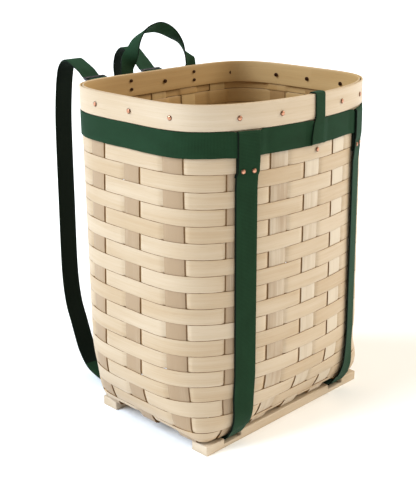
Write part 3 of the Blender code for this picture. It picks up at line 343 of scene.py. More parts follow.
@functools.lru_cache(maxsize=None)
def stake_centre(height, stake):
    """X or Y of a stake's middle at one height."""
    face, number = stake
    rise = height / RIM_TOP
    if face in ("front", "back"):
        return number * lerp(LONG_PITCH_BASE, LONG_PITCH_RIM, rise)
    return plan_at(height)[2] + number * lerp(CROSS_PITCH_BASE, CROSS_PITCH_RIM, rise)


@functools.lru_cache(maxsize=None)
def stake_ends(height, stake):
    """The two edges of a stake's place on the wall, in the order of the ring."""
    plan = plan_at(height)
    face = stake[0]
    centre = stake_centre(height, stake)
    half = 0.5 * STAKE_WIDTH
    pair = face_point(plan, face, centre + half) - face_point(plan, face, centre - half)
    slope = np.linalg.norm(pair) / STAKE_WIDTH
    first = face_point(plan, face, centre - half / slope)
    last = face_point(plan, face, centre + half / slope)
    return (last, first) if face in ("back", "left") else (first, last)


def shares_between(number):
    """Shares of the way from one stake to the next at which a ring has points."""
    corner = STAKES[(number + 1) % len(STAKES)][0] != STAKES[number][0]
    return CORNER_SHARES if corner else GAP_SHARES


@functools.lru_cache(maxsize=None)
def ring_angles(height):
    """Angles of a whole ring: each stake's edges with steps between, and the gaps."""
    plan = plan_at(height)
    angles = []
    edges = [[angle_of(plan, point) for point in stake_ends(height, stake)] for stake in STAKES]
    for number, (first, last) in enumerate(edges):
        last += 2.0 * math.pi if last < first else 0.0
        begin = edges[(number + 1) % len(STAKES)][0]
        begin += 2.0 * math.pi if begin < last else 0.0
        angles += list(spread(plan, first, last, STAKE_SHARES))
        angles += list(spread(plan, last, begin, shares_between(number))[1:-1])
    return np.array(angles)


def ring_places():
    """For each point of a ring: the stake before it, the one after it and the share between."""
    places = []
    for number in range(len(STAKES)):
        following = (number + 1) % len(STAKES)
        places += [(number, number, 0.0)] * STAKE_COLUMNS
        places += [(number, following, share) for share in shares_between(number)[1:-1]]
    return places


PLACES = ring_places()


def ring(height):
    """The wall's outline at one height, in the basket's own frame."""
    points = curve_points(plan_at(height), ring_angles(height))
    return np.column_stack([points, np.full(len(points), height)])


def wall_between(low, high, columns):
    """The wall from one height to another, [round, up, 3]."""
    return np.stack([ring(height) for height in np.linspace(low, high, columns)], axis=1)


def seam(stake):
    """The place in a ring, at the middle of one stake, where a hoop's ends meet."""
    number = STAKES.index(stake)
    return PLACES.index((number, number, 0.0)) + STAKE_STEPS // 2


def opened(points, start):
    """A closed band of points that starts and ends at one place of the ring."""
    points = np.roll(points, -start, axis=0)
    return np.concatenate([points, points[:1]], axis=0)


def outward(points):
    """Unit vectors square to a closed band of points, [round, up, 3], away from the inside."""
    round_way = np.roll(points, -1, axis=0) - np.roll(points, 1, axis=0)
    up_way = np.gradient(points, axis=1)
    square = np.cross(round_way, up_way)
    return square / np.linalg.norm(square, axis=2)[..., None]


def wall_frame(height, number, shift=0.0):
    """A place on one stake's line: its centre, the way across and the way out."""
    step = 0.0005
    first, last = stake_ends(height, STAKES[number])
    above = stake_ends(height + step, STAKES[number])
    middle = np.append(0.5 * (first + last), height)
    across = np.append(unit(last - first), 0.0)
    climb = np.append(0.5 * (above[0] + above[1]), height + step) - middle
    return middle + across * shift, across, unit(np.cross(across, climb))


def row_side(row, number):
    """1 where a row of the weave passes outside a stake, and -1 where it passes inside."""
    return 1.0 if (row + number) % 2 == 1 else -1.0


def wander(run, seed, reach):
    """A small smooth stray along a split edge."""
    waves = np.sin(run * 47.0 + 1.7 * seed) + 0.6 * np.sin(run * 113.0 + 2.9 * seed)
    return reach * (waves + 0.4 * np.sin(run * 263.0 + 4.1 * seed)) / 2.0


# Making meshes

def deselect():
    """Leave nothing selected, and object mode on."""
    if bpy.context.object and bpy.context.object.mode != "OBJECT":
        bpy.ops.object.mode_set(mode="OBJECT")
    bpy.ops.object.select_all(action="DESELECT")


def choose(piece):
    """Make one object the selected and active one."""
    deselect()
    piece.select_set(True)
    bpy.context.view_layer.objects.active = piece


def apply_modifier(piece, kind, **settings):
    """Add a modifier with its settings and apply it."""
    choose(piece)
    change = piece.modifiers.new(kind.title(), kind)
    for name, value in settings.items():
        setattr(change, name, value)
    bpy.ops.object.modifier_apply(modifier=change.name)


def edit_only(piece, kind, wanted):
    """Turn edit mode on with only the wanted ones of a piece's vertices or faces selected."""
    choose(piece)
    bpy.ops.object.mode_set(mode="EDIT")
    bpy.ops.mesh.select_mode(type=kind)
    bpy.ops.mesh.select_all(action="DESELECT")
    bpy.ops.object.mode_set(mode="OBJECT")
    for part in piece.data.polygons if kind == "FACE" else piece.data.vertices:
        part.select = wanted(part)
    bpy.ops.object.mode_set(mode="EDIT")


def laid_grid(name, points, uvs, closed=False):
    """A grid primitive laid on points, [along, across, 3], with a UV map in metres."""
    along, across = points.shape[:2]
    deselect()
    bpy.ops.mesh.primitive_grid_add(x_subdivisions=along - 1, y_subdivisions=across - 1, size=2.0)
    piece = bpy.context.object
    piece.name = name
    piece.data.name = name
    mesh = piece.data
    flat = np.empty(3 * len(mesh.vertices))
    mesh.vertices.foreach_get("co", flat)
    flat = flat.reshape(-1, 3)
    i = np.rint((flat[:, 0] + 1.0) * 0.5 * (along - 1)).astype(int)
    j = np.rint((flat[:, 1] + 1.0) * 0.5 * (across - 1)).astype(int)
    laid = points[i, j] + np.array([0.0, SHIFT, 0.0])
    mesh.vertices.foreach_set("co", laid.ravel())
    corner = np.empty(len(mesh.loops), dtype=int)
    mesh.loops.foreach_get("vertex_index", corner)
    mesh.uv_layers[0].data.foreach_set("uv", uvs[i[corner], j[corner]].ravel())
    if closed:
        bpy.ops.object.mode_set(mode="EDIT")
        bpy.ops.mesh.select_all(action="SELECT")
        bpy.ops.mesh.remove_doubles(threshold=0.00001)
        bpy.ops.object.mode_set(mode="OBJECT")
    mesh.update()
    return piece


def thickened(piece, thickness, softness, segments=2):
    """Give a laid sheet its thickness and round its long edges."""
    apply_modifier(piece, "SOLIDIFY", thickness=thickness, offset=0.0, use_even_offset=True)
    apply_modifier(piece, "BEVEL", width=softness, segments=segments, limit_method="ANGLE",
                   angle_limit=math.radians(50.0), use_clamp_overlap=True)
    choose(piece)
    bpy.ops.object.shade_smooth_by_angle(angle=math.radians(55.0))
    return piece


# A face narrower than this is a strip's edge, which gets painted shade, and the faces of a painted shadow
# border end within this share of it
EDGE_WIDTH = 0.0004
SHADOW_BORDER_REACH_SHARE = 1.2


def add_mark(piece, name, values):
    """Give each face of a piece a number that its finish reads."""
    layer = piece.data.attributes.new(name, "FLOAT", "FACE")
    layer.data.foreach_set("value", np.ascontiguousarray(values, dtype=np.float32))


def marked(piece, tone=0.0, shadow_clefts=(), shadow_border=0.0):
    """Mark a strip's edges, shadow clefts and shadow border, which get painted shade, the faces that look
    inwards and the base's upward faces, which get painted shade too, and its tone.
    """
    mesh = piece.data
    count = len(mesh.polygons)
    starts = np.empty(count, dtype=np.int32)
    mesh.polygons.foreach_get("loop_start", starts)
    places = np.empty(2 * len(mesh.loops), dtype=np.float32)
    mesh.uv_layers[0].data.foreach_get("uv", places)
    across = places[1::2]
    highest = np.maximum.reduceat(across, starts)
    extent = highest - np.minimum.reduceat(across, starts)
    if shadow_border:
        extent[highest < across.min() + SHADOW_BORDER_REACH_SHARE * shadow_border] = 0.0
    along = 0.5 * (np.maximum.reduceat(places[::2], starts) + np.minimum.reduceat(places[::2], starts))
    normals = np.empty(3 * count, dtype=np.float32)
    mesh.polygons.foreach_get("normal", normals)
    normals = normals.reshape(-1, 3)
    middles = np.empty(3 * count, dtype=np.float32)
    mesh.polygons.foreach_get("center", middles)
    away = middles.reshape(-1, 3) - np.array([0.0, SHIFT, 0.0])
    upward = (normals[:, 2] > 0.6) & (away[:, 2] < FIRST_ROW_TOP)
    inward = (normals[:, :2] * away[:, :2]).sum(axis=1) < 0.0
    shadow_cleft = np.zeros(count, dtype=bool)
    for start, end in shadow_clefts:
        shadow_cleft |= (along > start) & (along < end)
    # Painted shade: the strips' narrow side faces and the shadow clefts take the dark edge colour
    add_mark(piece, "edge", (extent < EDGE_WIDTH) | (shadow_cleft & ~inward))
    # Faces that look into the basket and the base's upward faces are marked inside, for painted shade
    add_mark(piece, "inside", inward | upward)
    add_mark(piece, "tone", np.full(count, tone))
    return piece


def run_along(points):
    """Lengths from the start along the middle of a strip."""
    return lengths_along(points[:, points.shape[1] // 2])


def strip_uvs(points, number):
    """A UV map in metres along and across a strip, set apart from other strips."""
    run = run_along(points)
    across = points.shape[1]
    steps = np.linalg.norm(np.diff(points, axis=1), axis=2)
    sideways = np.concatenate([np.zeros((len(points), 1)), np.cumsum(steps, axis=1)], axis=1)
    u = np.repeat(run[:, None], across, axis=1) + 0.37 * number
    v = sideways - 0.5 * sideways[:, -1:] + 0.5 * number
    return np.stack([u, v], axis=2)


def settle(piece, finish, slot, body, *nodes):
    """Give a piece its finish and place it on its body, in the stead of its nodes."""
    piece.data.materials.clear()
    piece.data.materials.append(finish)
    if body:
        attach(piece, body)
    if nodes:
        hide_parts(*nodes)
    return piece


def polyline(points, spacing):
    """A line resampled at an even spacing."""
    points = np.array(points, dtype=float)
    run = lengths_along(points)
    count = max(int(round(run[-1] / spacing)), 2)
    wanted = np.linspace(0.0, run[-1], count + 1)
    return np.stack([np.interp(wanted, run, column) for column in points.T], axis=1)


def softened(line, passes):
    """A line with its bends rounded and its ends kept."""
    line = line.copy()
    for _ in range(passes):
        line[1:-1] = 0.25 * line[:-2] + 0.5 * line[1:-1] + 0.25 * line[2:]
    return line


def curve_through(points, samples):
    """Points along a smooth curve through the given points."""
    points = [np.array(point, dtype=float) for point in points]
    padded = [2.0 * points[0] - points[1]] + points + [2.0 * points[-1] - points[-2]]
    curve = []
    for index in range(1, len(padded) - 2):
        a, b, c, d = padded[index - 1:index + 3]
        for step in range(samples):
            t = step / samples
            curve.append(0.5 * (2.0 * b + (c - a) * t + (2.0 * a - 5.0 * b + 4.0 * c - d) * t ** 2
                                + (3.0 * b - a - 3.0 * c + d) * t ** 3))
    curve.append(points[-1])
    return np.array(curve)


def ribbon_points(centres, across, halves, shadow_border=0.0):
    """Points of a strip from its centres, ways across and half widths."""
    shares = np.linspace(-1.0, 1.0, STRAP_COLUMNS)
    # A column near the first edge bounds the painted shadow border
    if shadow_border:
        shares[1] = -1.0 + shadow_border / max(halves)
    across = np.array(across)
    halves = np.array(halves)
    return centres[:, None, :] + across[:, None, :] * (halves[:, None] * shares[None, :])[..., None]


# Finishes

# Painted shade: the tint that darkens and browns the faces marked inside
INSIDE_SHADE_TINT = (0.87, 0.71, 0.43)
# Painted light on the handle's arch
PAINTED_LIGHT_TINT = (1.9, 1.75, 1.8)
# Painted shade and shadow on webbing: share of the dark green
SHADE_SHARE = 0.12
# Painted shade on metal faces marked inside
METAL_SHADE_SHARE = 0.10
TARNISH_SHARE = 0.42
RIB_PITCH = 0.0017
THREAD_PITCH = 0.0014
SHEEN_TINT = (0.45, 0.95, 0.80, 1.0)


def tinted(colour, share):
    """A colour at a share of its strength."""
    return [share * part for part in colour]


class Socket:
    """A shader output that can be added, multiplied and compared; each use adds a node."""

    def __init__(self, tree, output):
        self.tree = tree
        self.output = output

    def node(self, kind, inputs, output=0, **settings):
        """Any other node: its inputs by name or number, its settings by name."""
        made = self.tree.nodes.new(kind)
        for name, value in settings.items():
            setattr(made, name, value)
        for key, value in inputs.items():
            if isinstance(value, Socket):
                self.tree.links.new(value.output, made.inputs[key])
            else:
                made.inputs[key].default_value = value
        return Socket(self.tree, made.outputs[output])

    def math(self, operation, first, second):
        """One Math node."""
        return self.node("ShaderNodeMath", {0: first, 1: second}, operation=operation)

    def __add__(self, other):
        return self.math("ADD", self, other)

    def __sub__(self, other):
        return self.math("SUBTRACT", self, other)

    def __rsub__(self, other):
        return self.math("SUBTRACT", other, self)

    def __mul__(self, other):
        return self.math("MULTIPLY", self, other)

    def power(self, other):
        return self.math("POWER", self, other)

    def stretched(self, scale):
        """A vector with each part multiplied."""
        return self.node("ShaderNodeVectorMath", {0: self, 1: scale}, operation="MULTIPLY")

    def noise(self, scale, detail=3.0, roughness=0.55):
        """Noise on a vector that has been stretched."""
        return self.node("ShaderNodeTexNoise", {
            "Vector": self.stretched(scale), "Scale": 1.0, "Detail": detail,
            "Roughness": roughness}, "Fac")

    def between(self, low, high, start=0.0, end=1.0):
        """The value mapped smoothly from low and high to start and end."""
        return self.node("ShaderNodeMapRange", {
            "Value": self, "From Min": low, "From Max": high, "To Min": start, "To Max": end},
            interpolation_type="SMOOTHSTEP")

    def blend(self, first, second):
        """A colour mixed from two, by this value."""
        return self.node("ShaderNodeMix", {0: self, 6: first, 7: second}, 2, data_type="RGBA")


def rgba(colour):
    """A colour with its alpha."""
    return (colour[0], colour[1], colour[2], 1.0)


def new_finish(name):
    """A new material: its shader and its texture coordinates."""
    finish = bpy.data.materials.new(name)
    finish.use_nodes = True
    tree = finish.node_tree
    shader = tree.nodes["Principled BSDF"]
    coordinates = tree.nodes.new("ShaderNodeTexCoord")
    return finish, tree, shader, coordinates


def link(socket, shader, name):
    """Link a value to one of the shader's inputs."""
    socket.tree.links.new(socket.output, shader.inputs[name])


def mark(tree, name):
    """One of the marks that a piece's faces carry."""
    made = tree.nodes.new("ShaderNodeAttribute")
    made.attribute_name = name
    return Socket(tree, made.outputs["Fac"])


def wood_finish(name, pale, deep, edge, vector_name="UV", along=14.0, across=700.0, tone=5.0,
                edges=1.0):
    """Wood with its grain along the splint, tone that changes, which is a painted reflection on the long
    front stakes, fine dark pores, and painted shade on the faces marked inside and on the edges and clefts.
    """
    finish, tree, shader, coordinates = new_finish(name)
    place = Socket(tree, coordinates.outputs[vector_name])
    fine = place.noise((along, across, across), 4.0, 0.6)
    band = place.noise((0.35 * along, 0.16 * across, 0.16 * across), 3.0, 0.5)
    broad = place.noise((tone, 3.0 * tone, 3.0 * tone), 2.0, 0.5)
    pores = place.noise((3.2 * along, 1.6 * across, 1.6 * across), 2.0, 0.5).between(0.60, 0.74)
    share = (fine * 0.42 + band * 0.50 + broad * 0.82 + mark(tree, "tone")).between(0.52, 1.24)
    wood = share.blend(rgba(pale), rgba(deep))
    streaked = (pores * 0.16).blend(wood, rgba(edge))
    # Painted shade on the faces marked inside
    shaded = mark(tree, "inside").blend(streaked, streaked.stretched(INSIDE_SHADE_TINT))
    # Painted shade on the edges and clefts
    painted_edges = (mark(tree, "edge") * edges).blend(shaded, rgba(edge))
    link(painted_edges, shader, "Base Color")
    rough = (fine * 0.22) + 0.36
    link(rough, shader, "Roughness")
    relief = fine * 0.6 + band * 0.5 - pores * 0.5
    bump = relief.node("ShaderNodeBump", {"Strength": 0.20, "Distance": 0.00030, "Height": relief},
                       "Normal")
    link(bump, shader, "Normal")
    shader.inputs["Specular IOR Level"].default_value = 0.5
    return finish


def webbing_finish(name, bright, dark):
    """Woven webbing: crosswise ribs that the warp threads pass over, a slight sheen, painted light where
    marked lit, and painted shade where marked shadow and on its edges.
    """
    finish, tree, shader, coordinates = new_finish(name)
    place = Socket(tree, coordinates.outputs["UV"])
    u = place.node("ShaderNodeSeparateXYZ", {0: place}, "X")
    v = Socket(tree, u.output.node.outputs["Y"])
    turns = u * (2.0 * math.pi / RIB_PITCH)
    rib = turns.node("ShaderNodeMath", {0: turns}, operation="SINE")
    turns = v * (2.0 * math.pi / THREAD_PITCH)
    thread = turns.node("ShaderNodeMath", {0: turns}, operation="SINE")
    woven = (rib * 0.5 + 0.5) * (thread * 0.35 + 0.65)
    broad = place.noise((26.0, 60.0, 1.0), 3.0, 0.55)
    fuzz = place.noise((900.0, 900.0, 1.0), 2.0, 0.6)
    share = (woven * 0.35 + broad * 0.45 + fuzz * 0.30).between(0.15, 0.95)
    colour = share.blend(rgba(dark), rgba(bright))
    # Painted light on the faces marked lit
    painted_lit = mark(tree, "lit").blend(colour, colour.stretched(PAINTED_LIGHT_TINT))
    # Painted shade: faces marked shadow and the webbing's edges take this near black
    shade = rgba(tinted(dark, SHADE_SHARE))
    shaded = (mark(tree, "shadow") * 0.92).blend(painted_lit, shade)
    painted_edge_shade = (mark(tree, "edge") * 0.9).blend(shaded, shade)
    link(painted_edge_shade, shader, "Base Color")
    link((1.0 - woven * 0.2) * 0.90, shader, "Roughness")
    relief = woven * 0.8 + fuzz * 0.3
    bump = relief.node("ShaderNodeBump", {"Strength": 0.35, "Distance": 0.0003, "Height": relief},
                       "Normal")
    link(bump, shader, "Normal")
    shader.inputs["Specular IOR Level"].default_value = 0.12
    shader.inputs["Sheen Weight"].default_value = 0.06
    shader.inputs["Sheen Roughness"].default_value = 0.4
    shader.inputs["Sheen Tint"].default_value = SHEEN_TINT
    return finish


def metal_finish(name, colour, roughness, metallic, tarnish):
    """Metal with faint scratches and a little tarnish, and painted shade on the faces marked inside."""
    finish, tree, shader, coordinates = new_finish(name)
    place = Socket(tree, coordinates.outputs["Object"])
    patches = place.noise((420.0, 420.0, 420.0), 3.0, 0.6).between(0.42, 0.72)
    shade = (patches * tarnish).blend(rgba(colour), rgba(tinted(colour, TARNISH_SHARE)))
    # Painted shade on the rivet heads' edges and the washers inside
    painted_dark_metal = mark(tree, "inside").blend(shade, rgba(tinted(colour, METAL_SHADE_SHARE)))
    link(painted_dark_metal, shader, "Base Color")
    link(patches * 0.18 + roughness, shader, "Roughness")
    shader.inputs["Metallic"].default_value = metallic
    return finish


@functools.lru_cache(maxsize=None)
def finish_named(name):
    """Each finish, made once."""
    shades = bpy.context.scene.basket_colours
    edge = shades.pore_and_edge_shade
    if name == "weaver":
        return wood_finish("weaver_splint", shades.weaver_pale, shades.weaver_deep, edge)
    if name == "stake":
        return wood_finish("stake_splint", shades.stake_pale, shades.stake_deep, edge, tone=9.0)
    if name == "rim":
        return wood_finish("rim_hoop", shades.rim_pale, shades.rim_deep, edge, along=9.0,
                           across=520.0, edges=0.12)
    if name == "skid":
        return wood_finish("skid_wood", shades.rim_pale, shades.rim_deep, edge,
                           vector_name="Object", along=12.0, across=420.0, edges=0.0)
    if name == "webbing":
        return webbing_finish("green_webbing", shades.webbing, shades.webbing_dark)
    if name == "copper":
        return metal_finish("copper", shades.copper, 0.30, 1.0, 0.3)
    return metal_finish("buckle_black", shades.buckle_black, 0.30, 0.7, 0.3)


# The pieces

class BASKET_OT_weavers(bpy.types.Operator):
    """Lay the hoops that pass in front of and behind the stakes in turn"""

    bl_idname = "pack_basket.weavers"
    bl_label = "Weavers"

    def execute(self, context):
        sizes = context.scene.basket_sizes
        for row in range(len(ROW_EDGES) - 1):
            piece = self.lay(row, sizes)
            node = "weaver_%02d" % (row + 1)
            settle(piece, finish_named("weaver"), "ash_splint", "basket", node)
        return {"FINISHED"}

    def lay(self, row, sizes):
        """One hoop: the wall's own band between two rows, swung out and in."""
        low = ROW_EDGES[row] + 0.5 * sizes.row_gap
        high = ROW_EDGES[row + 1] - 0.5 * sizes.row_gap
        wall = wall_between(low, high, 5)
        square = outward(wall)
        offsets = self.sides(row, wall[:, 2])
        crown = 1.0 - np.linspace(-1.0, 1.0, 5) ** 2
        reach = sizes.weave_reach * (0.88 + 0.12 * crown)
        points = wall + square * (offsets[:, None] * reach[None, :])[..., None]
        run = run_along(points)
        for edge, seed in ((0, row), (-1, row + 31)):
            points[:, edge, 2] += wander(run, seed, sizes.edge_wander)
        if row == 0:
            points = self.tucked(points)
        start = self.hidden_start(row)
        points = opened(points, start)
        uvs = strip_uvs(points, row)
        piece = laid_grid("weave_row_%02d" % (row + 1), points, uvs, closed=True)
        thickened(piece, sizes.splint_thickness, SPLINT_SOFTNESS_SHARE * sizes.splint_thickness)
        return marked(piece, 0.09 * math.sin(2.4 * row + 0.6), self.shadow_clefts(row, start, uvs[:, 2, 0]))

    def shadow_clefts(self, row, start, along):
        """Lengths of a row that get painted shadow in the cleft beside a stake that it goes behind."""
        lengths = []
        places = PLACES[start:] + PLACES[:start + 1]
        for index in range(len(places) - 1):
            before, after, share = places[index]
            following = places[index + 1]
            leaves = STAKES[before][0] in ("back", "left") and row_side(row, before) < 0.0
            leaves = leaves and before == after and following[2] > 0.0
            meets = STAKES[after][0] in ("front", "right") and row_side(row, after) < 0.0
            meets = meets and share > 0.5 and following[2] == 0.0
            if leaves or meets:
                lengths.append((along[index], along[index + 1]))
        return lengths

    def sides(self, row, line):
        """How far out a row is at each point: it plunges close to each stake that it goes behind."""
        step = np.linalg.norm(np.roll(line, -1, axis=0) - line, axis=1)
        sides = np.ones(len(PLACES))
        for index, (before, after, share) in enumerate(PLACES):
            if before == after:
                sides[index] = row_side(row, before)
                continue
            behind = before if row_side(row, before) < 0.0 else after
            span = sum(step[i] for i, place in enumerate(PLACES) if place[:2] == (before, after))
            reach = span * (share if behind == before else 1.0 - share)
            sides[index] = lerp(-1.0, 1.0, ease(reach / PLUNGE))
        return sides

    def hidden_start(self, row):
        """Where a row's ends lie over each other: behind a stake of the right face."""
        behind = row_side(row, STAKES.index(("right", 0))) < 0.0
        return seam(("right", 0 if behind else 1))

    def tucked(self, points):
        """The lowest row, drawn down at the corners and up along the sides."""
        near = (np.abs(points[:, 0, :2]) / (BASE_HALF_WIDTH, BASE_HALF_DEPTH)).prod(axis=1)
        change = SIDE_LIFT * (1.0 - np.minimum(near ** 4, 1.0)) - CORNER_DIP * np.minimum(near ** 8, 1.0)
        for level, share in enumerate(LOWEST_ROW_SHARES):
            points[:, level, 2] += change * share
        return points


class BASKET_OT_stakes(bpy.types.Operator):
    """Lay the upright splints, which cross under the load, and the short ones of the base"""

    bl_idname = "pack_basket.stakes"
    bl_label = "Stakes"

    def execute(self, context):
        sizes = context.scene.basket_sizes
        for number in (-2, -1, 0, 1, 2):
            points = self.long_points(number, sizes)
            # The long stakes' tone carries a painted reflection
            tone = FRONT_SHEEN_TONES[number + 2]
            self.finish("stake_long_%d" % (number + 3), points, number + 3, sizes, tone)
        for number in (-1, 0, 1):
            points = self.cross_points(number, sizes)
            self.finish("stake_cross_%d" % (number + 2), points, number + 12, sizes, CROSS_TONE)
        self.fillers(sizes)
        return {"FINISHED"}

    def finish(self, node, points, number, sizes, tone=0.0):
        """Lay one splint and settle it in the stead of its solid."""
        piece = laid_grid("splint_" + node, points, strip_uvs(points, number))
        thickened(piece, sizes.splint_thickness, SPLINT_SOFTNESS_SHARE * sizes.splint_thickness)
        marked(piece, tone)
        settle(piece, finish_named("stake"), "ash_splint", "basket", node)

    def upright(self, stake, sizes):
        """Points of a stake on the wall from the base up, [up, across, 3]."""
        number = STAKES.index(stake)
        heights, sways = [], []
        for row in range(len(ROW_EDGES) - 1):
            low, high = ROW_EDGES[row], ROW_EDGES[row + 1]
            for share in STAKE_SHARES[:-1]:
                heights.append(lerp(low, high, share))
                sways.append(-row_side(row, number) * math.sin(math.pi * share))
        heights += [RIM_BOTTOM, 0.5 * (RIM_BOTTOM + RIM_TOP), RIM_TOP - STAKE_BELOW_RIM_TOP]
        sways += [0.0, 0.0, 0.0]
        rows = []
        for height, sway in zip(heights, sways):
            plan = plan_at(height)
            first, last = [angle_of(plan, point) for point in stake_ends(height, stake)]
            last += 2.0 * math.pi if last < first else 0.0
            flat = curve_points(plan, spread(plan, first, last, STAKE_SHARES))
            place, _, outer = wall_frame(height, number)
            line = np.column_stack([flat, np.full(STAKE_COLUMNS, height)])
            line = place + (line - place) * STAKE_TRIM_SHARE
            rows.append(line + outer * sway * sizes.stake_sway)
        return np.array(rows)

    def long_points(self, number, sizes):
        """Points of a long stake: down the front, under the load and up the back."""
        front = self.upright(("front", number), sizes)
        back = self.upright(("back", number), sizes)
        centre = number * LONG_PITCH_BASE
        shares = np.linspace(-0.5, 0.5, STAKE_COLUMNS)
        reach = BASE_HALF_DEPTH - BEND_INSET
        floor = []
        for y in np.linspace(-reach, reach, 41):
            floor.append([(centre + share * STAKE_WIDTH, y, BASE_LEVEL) for share in shares])
        return np.concatenate([front[::-1], np.array(floor), back[:, ::-1]], axis=0)

    def cross_points(self, number, sizes):
        """Points of a cross stake: down one narrow side, through the base and up the other."""
        left = self.upright(("left", number), sizes)
        right = self.upright(("right", number), sizes)
        centre = number * CROSS_PITCH_BASE
        shares = np.linspace(-0.5, 0.5, STAKE_COLUMNS)
        reach = BASE_HALF_WIDTH - BEND_INSET
        floor = []
        for x in np.linspace(-reach, reach, 81):
            level = BASE_LEVEL + self.base_lift(x, reach)
            floor.append([(x, centre + share * STAKE_WIDTH, level) for share in shares])
        return np.concatenate([left[::-1, ::-1], np.array(floor), right], axis=0)

    def base_lift(self, x, reach):
        """Rise of a cross splint over and under the long ones, in whole and half pitches."""
        wave = math.cos(2.0 * math.pi * x / LONG_PITCH_BASE)
        fade = min((reach - abs(x)) / (0.3 * LONG_PITCH_BASE), 1.0)
        return BASE_WEAVE * math.copysign(abs(wave) ** 0.5, wave) * fade

    def fillers(self, sizes):
        """Lay the short splints that close the base between the stakes."""
        end = BASE_HALF_DEPTH - FILLER_INSET
        shares = np.linspace(-0.5, 0.5, 3)
        for index in range(4):
            centre = (index - 1.5) * LONG_PITCH_BASE
            points = np.array([[(centre + share * FILLER_WIDTH, y, BASE_LEVEL) for share in shares]
                               for y in np.linspace(-end, end, 21)])
            self.finish("base_filler_long_%d" % (index + 1), points, index + 20, sizes)
        end = BASE_HALF_WIDTH - FILLER_INSET
        for index in range(2):
            centre = (index - 0.5) * CROSS_PITCH_BASE
            points = np.array([[(x, centre + share * STAKE_WIDTH,
                                 BASE_LEVEL - self.base_lift(x, end)) for share in shares]
                               for x in np.linspace(-end, end, 81)])
            self.finish("base_filler_cross_%d" % (index + 1), points, index + 26, sizes)


class BASKET_OT_rim(bpy.types.Operator):
    """Lay the two flat hoops that hold the splints' ends"""

    bl_idname = "pack_basket.rim"
    bl_label = "Rim hoops"

    def execute(self, context):
        sizes = context.scene.basket_sizes
        offset = 0.5 * (STAKE_THICKNESS + sizes.hoop_thickness) + HOOP_GAP
        for name, hand, number in (("rim_outer", 1.0, 40), ("rim_inner", -1.0, 43)):
            wall = wall_between(RIM_BOTTOM, RIM_TOP - HOOP_GAP, 7)
            points = wall + outward(wall) * hand * offset
            points[:, 0, 2] += wander(run_along(points), number, 0.5 * sizes.edge_wander)
            points = opened(points, seam(("right", 0)))
            piece = laid_grid("hoop_" + name, points, strip_uvs(points, number), closed=True)
            thickened(piece, sizes.hoop_thickness, HOOP_SOFTNESS, 3)
            marked(piece)
            settle(piece, finish_named("rim"), "rim_ash", "basket", name)
        return {"FINISHED"}


class BASKET_OT_skids(bpy.types.Operator):
    """Shape the two runners, notched over each strap"""

    bl_idname = "pack_basket.skids"
    bl_label = "Skids"

    def execute(self, context):
        for node in ("skid_front", "skid_rear"):
            low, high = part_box(node)
            self.shape(node, low, high)
        return {"FINISHED"}

    def shape(self, node, low, high):
        """One runner: a block cut by two notches, with its edges softened."""
        runner = self.block("runner_" + node, low, high)
        depth = Vector((0.0, CUT_OVERRUN, 0.0))
        for centre in (-NOTCH_X, NOTCH_X):
            corner = Vector((centre - 0.5 * NOTCH_WIDTH, low.y, NOTCH_FLOOR)) - depth
            opposite = Vector((centre + 0.5 * NOTCH_WIDTH, high.y, 2.0 * SKID_HEIGHT)) + depth
            cutter = self.block("notch", corner, opposite)
            apply_modifier(runner, "BOOLEAN", object=cutter, operation="DIFFERENCE", solver="EXACT")
            choose(cutter)
            bpy.ops.object.delete()
        apply_modifier(runner, "BEVEL", width=SKID_SOFTNESS, segments=3, limit_method="ANGLE",
                       angle_limit=math.radians(40.0))
        bpy.ops.object.shade_smooth_by_angle(angle=math.radians(40.0))
        settle(runner, finish_named("skid"), "skid_wood", "basket", node)

    def block(self, name, low, high):
        """A box between two corners."""
        deselect()
        bpy.ops.mesh.primitive_cube_add(size=1.0, location=0.5 * (low + high), scale=high - low)
        piece = bpy.context.object
        piece.name = name
        bpy.ops.object.transform_apply(location=True, rotation=False, scale=True)
        return piece


class BASKET_OT_band(bpy.types.Operator):
    """Lay the webbing belt under the rim, which bulges where straps loop behind it"""

    bl_idname = "pack_basket.band"
    bl_label = "Harness band"

    def execute(self, context):
        wall = wall_between(BELT_BOTTOM, BELT_TOP, 7)
        offsets = np.full(len(wall), BELT_OFFSET)
        dips = np.zeros(len(wall))
        rises = np.zeros(len(wall))
        middle = wall[:, 3]
        front = middle[:, 1] < -0.3 * RIM_PLAN[1]
        for centre, half in self.bulges(context.scene.basket_sizes):
            away = np.abs(middle[:, 0] - centre)
            lift = np.where(front, 1.0 - ease((away - half) / BULGE_EASE), 0.0)
            offsets = offsets + (BELT_STAND - offsets) * lift
            covered = np.where(front, 1.0 - ease((away - half + COVER_INSET) / COVER_EASE), 0.0)
            dips = np.maximum(dips, covered * (BELT_TOP - BAND_TOP))
            if centre == KEEPER_X:
                rises = covered * (KEEPER_LIFT + KEEPER_CLEARANCE)
        points = wall + outward(wall) * offsets[:, None, None]
        for step in (1, 2, 3):
            points[:, 3 + step, 2] -= dips * step / 3.0
            points[:, 3 - step, 2] += rises * step / 3.0
        points[:, :, 2] += wander(run_along(points), 77, BELT_WANDER)[:, None]
        points = opened(points, seam(("right", 0)))
        piece = laid_grid("belt", points, strip_uvs(points, 50), closed=True)
        marked(thickened(piece, BELT_THICKNESS, BELT_SOFTNESS))
        settle(piece, finish_named("webbing"), "green_webbing", "basket", "harness_band")
        return {"FINISHED"}

    def bulges(self, sizes):
        """X of the middle of each strap and the half width that it lifts."""
        half = 0.5 * sizes.webbing_width + BULGE_MARGIN
        straps = [(front_strap_x(hand, BAND_TOP), half) for hand in (-1.0, 1.0)]
        return straps + [(KEEPER_X, KEEPER_HALF_WIDTH)]


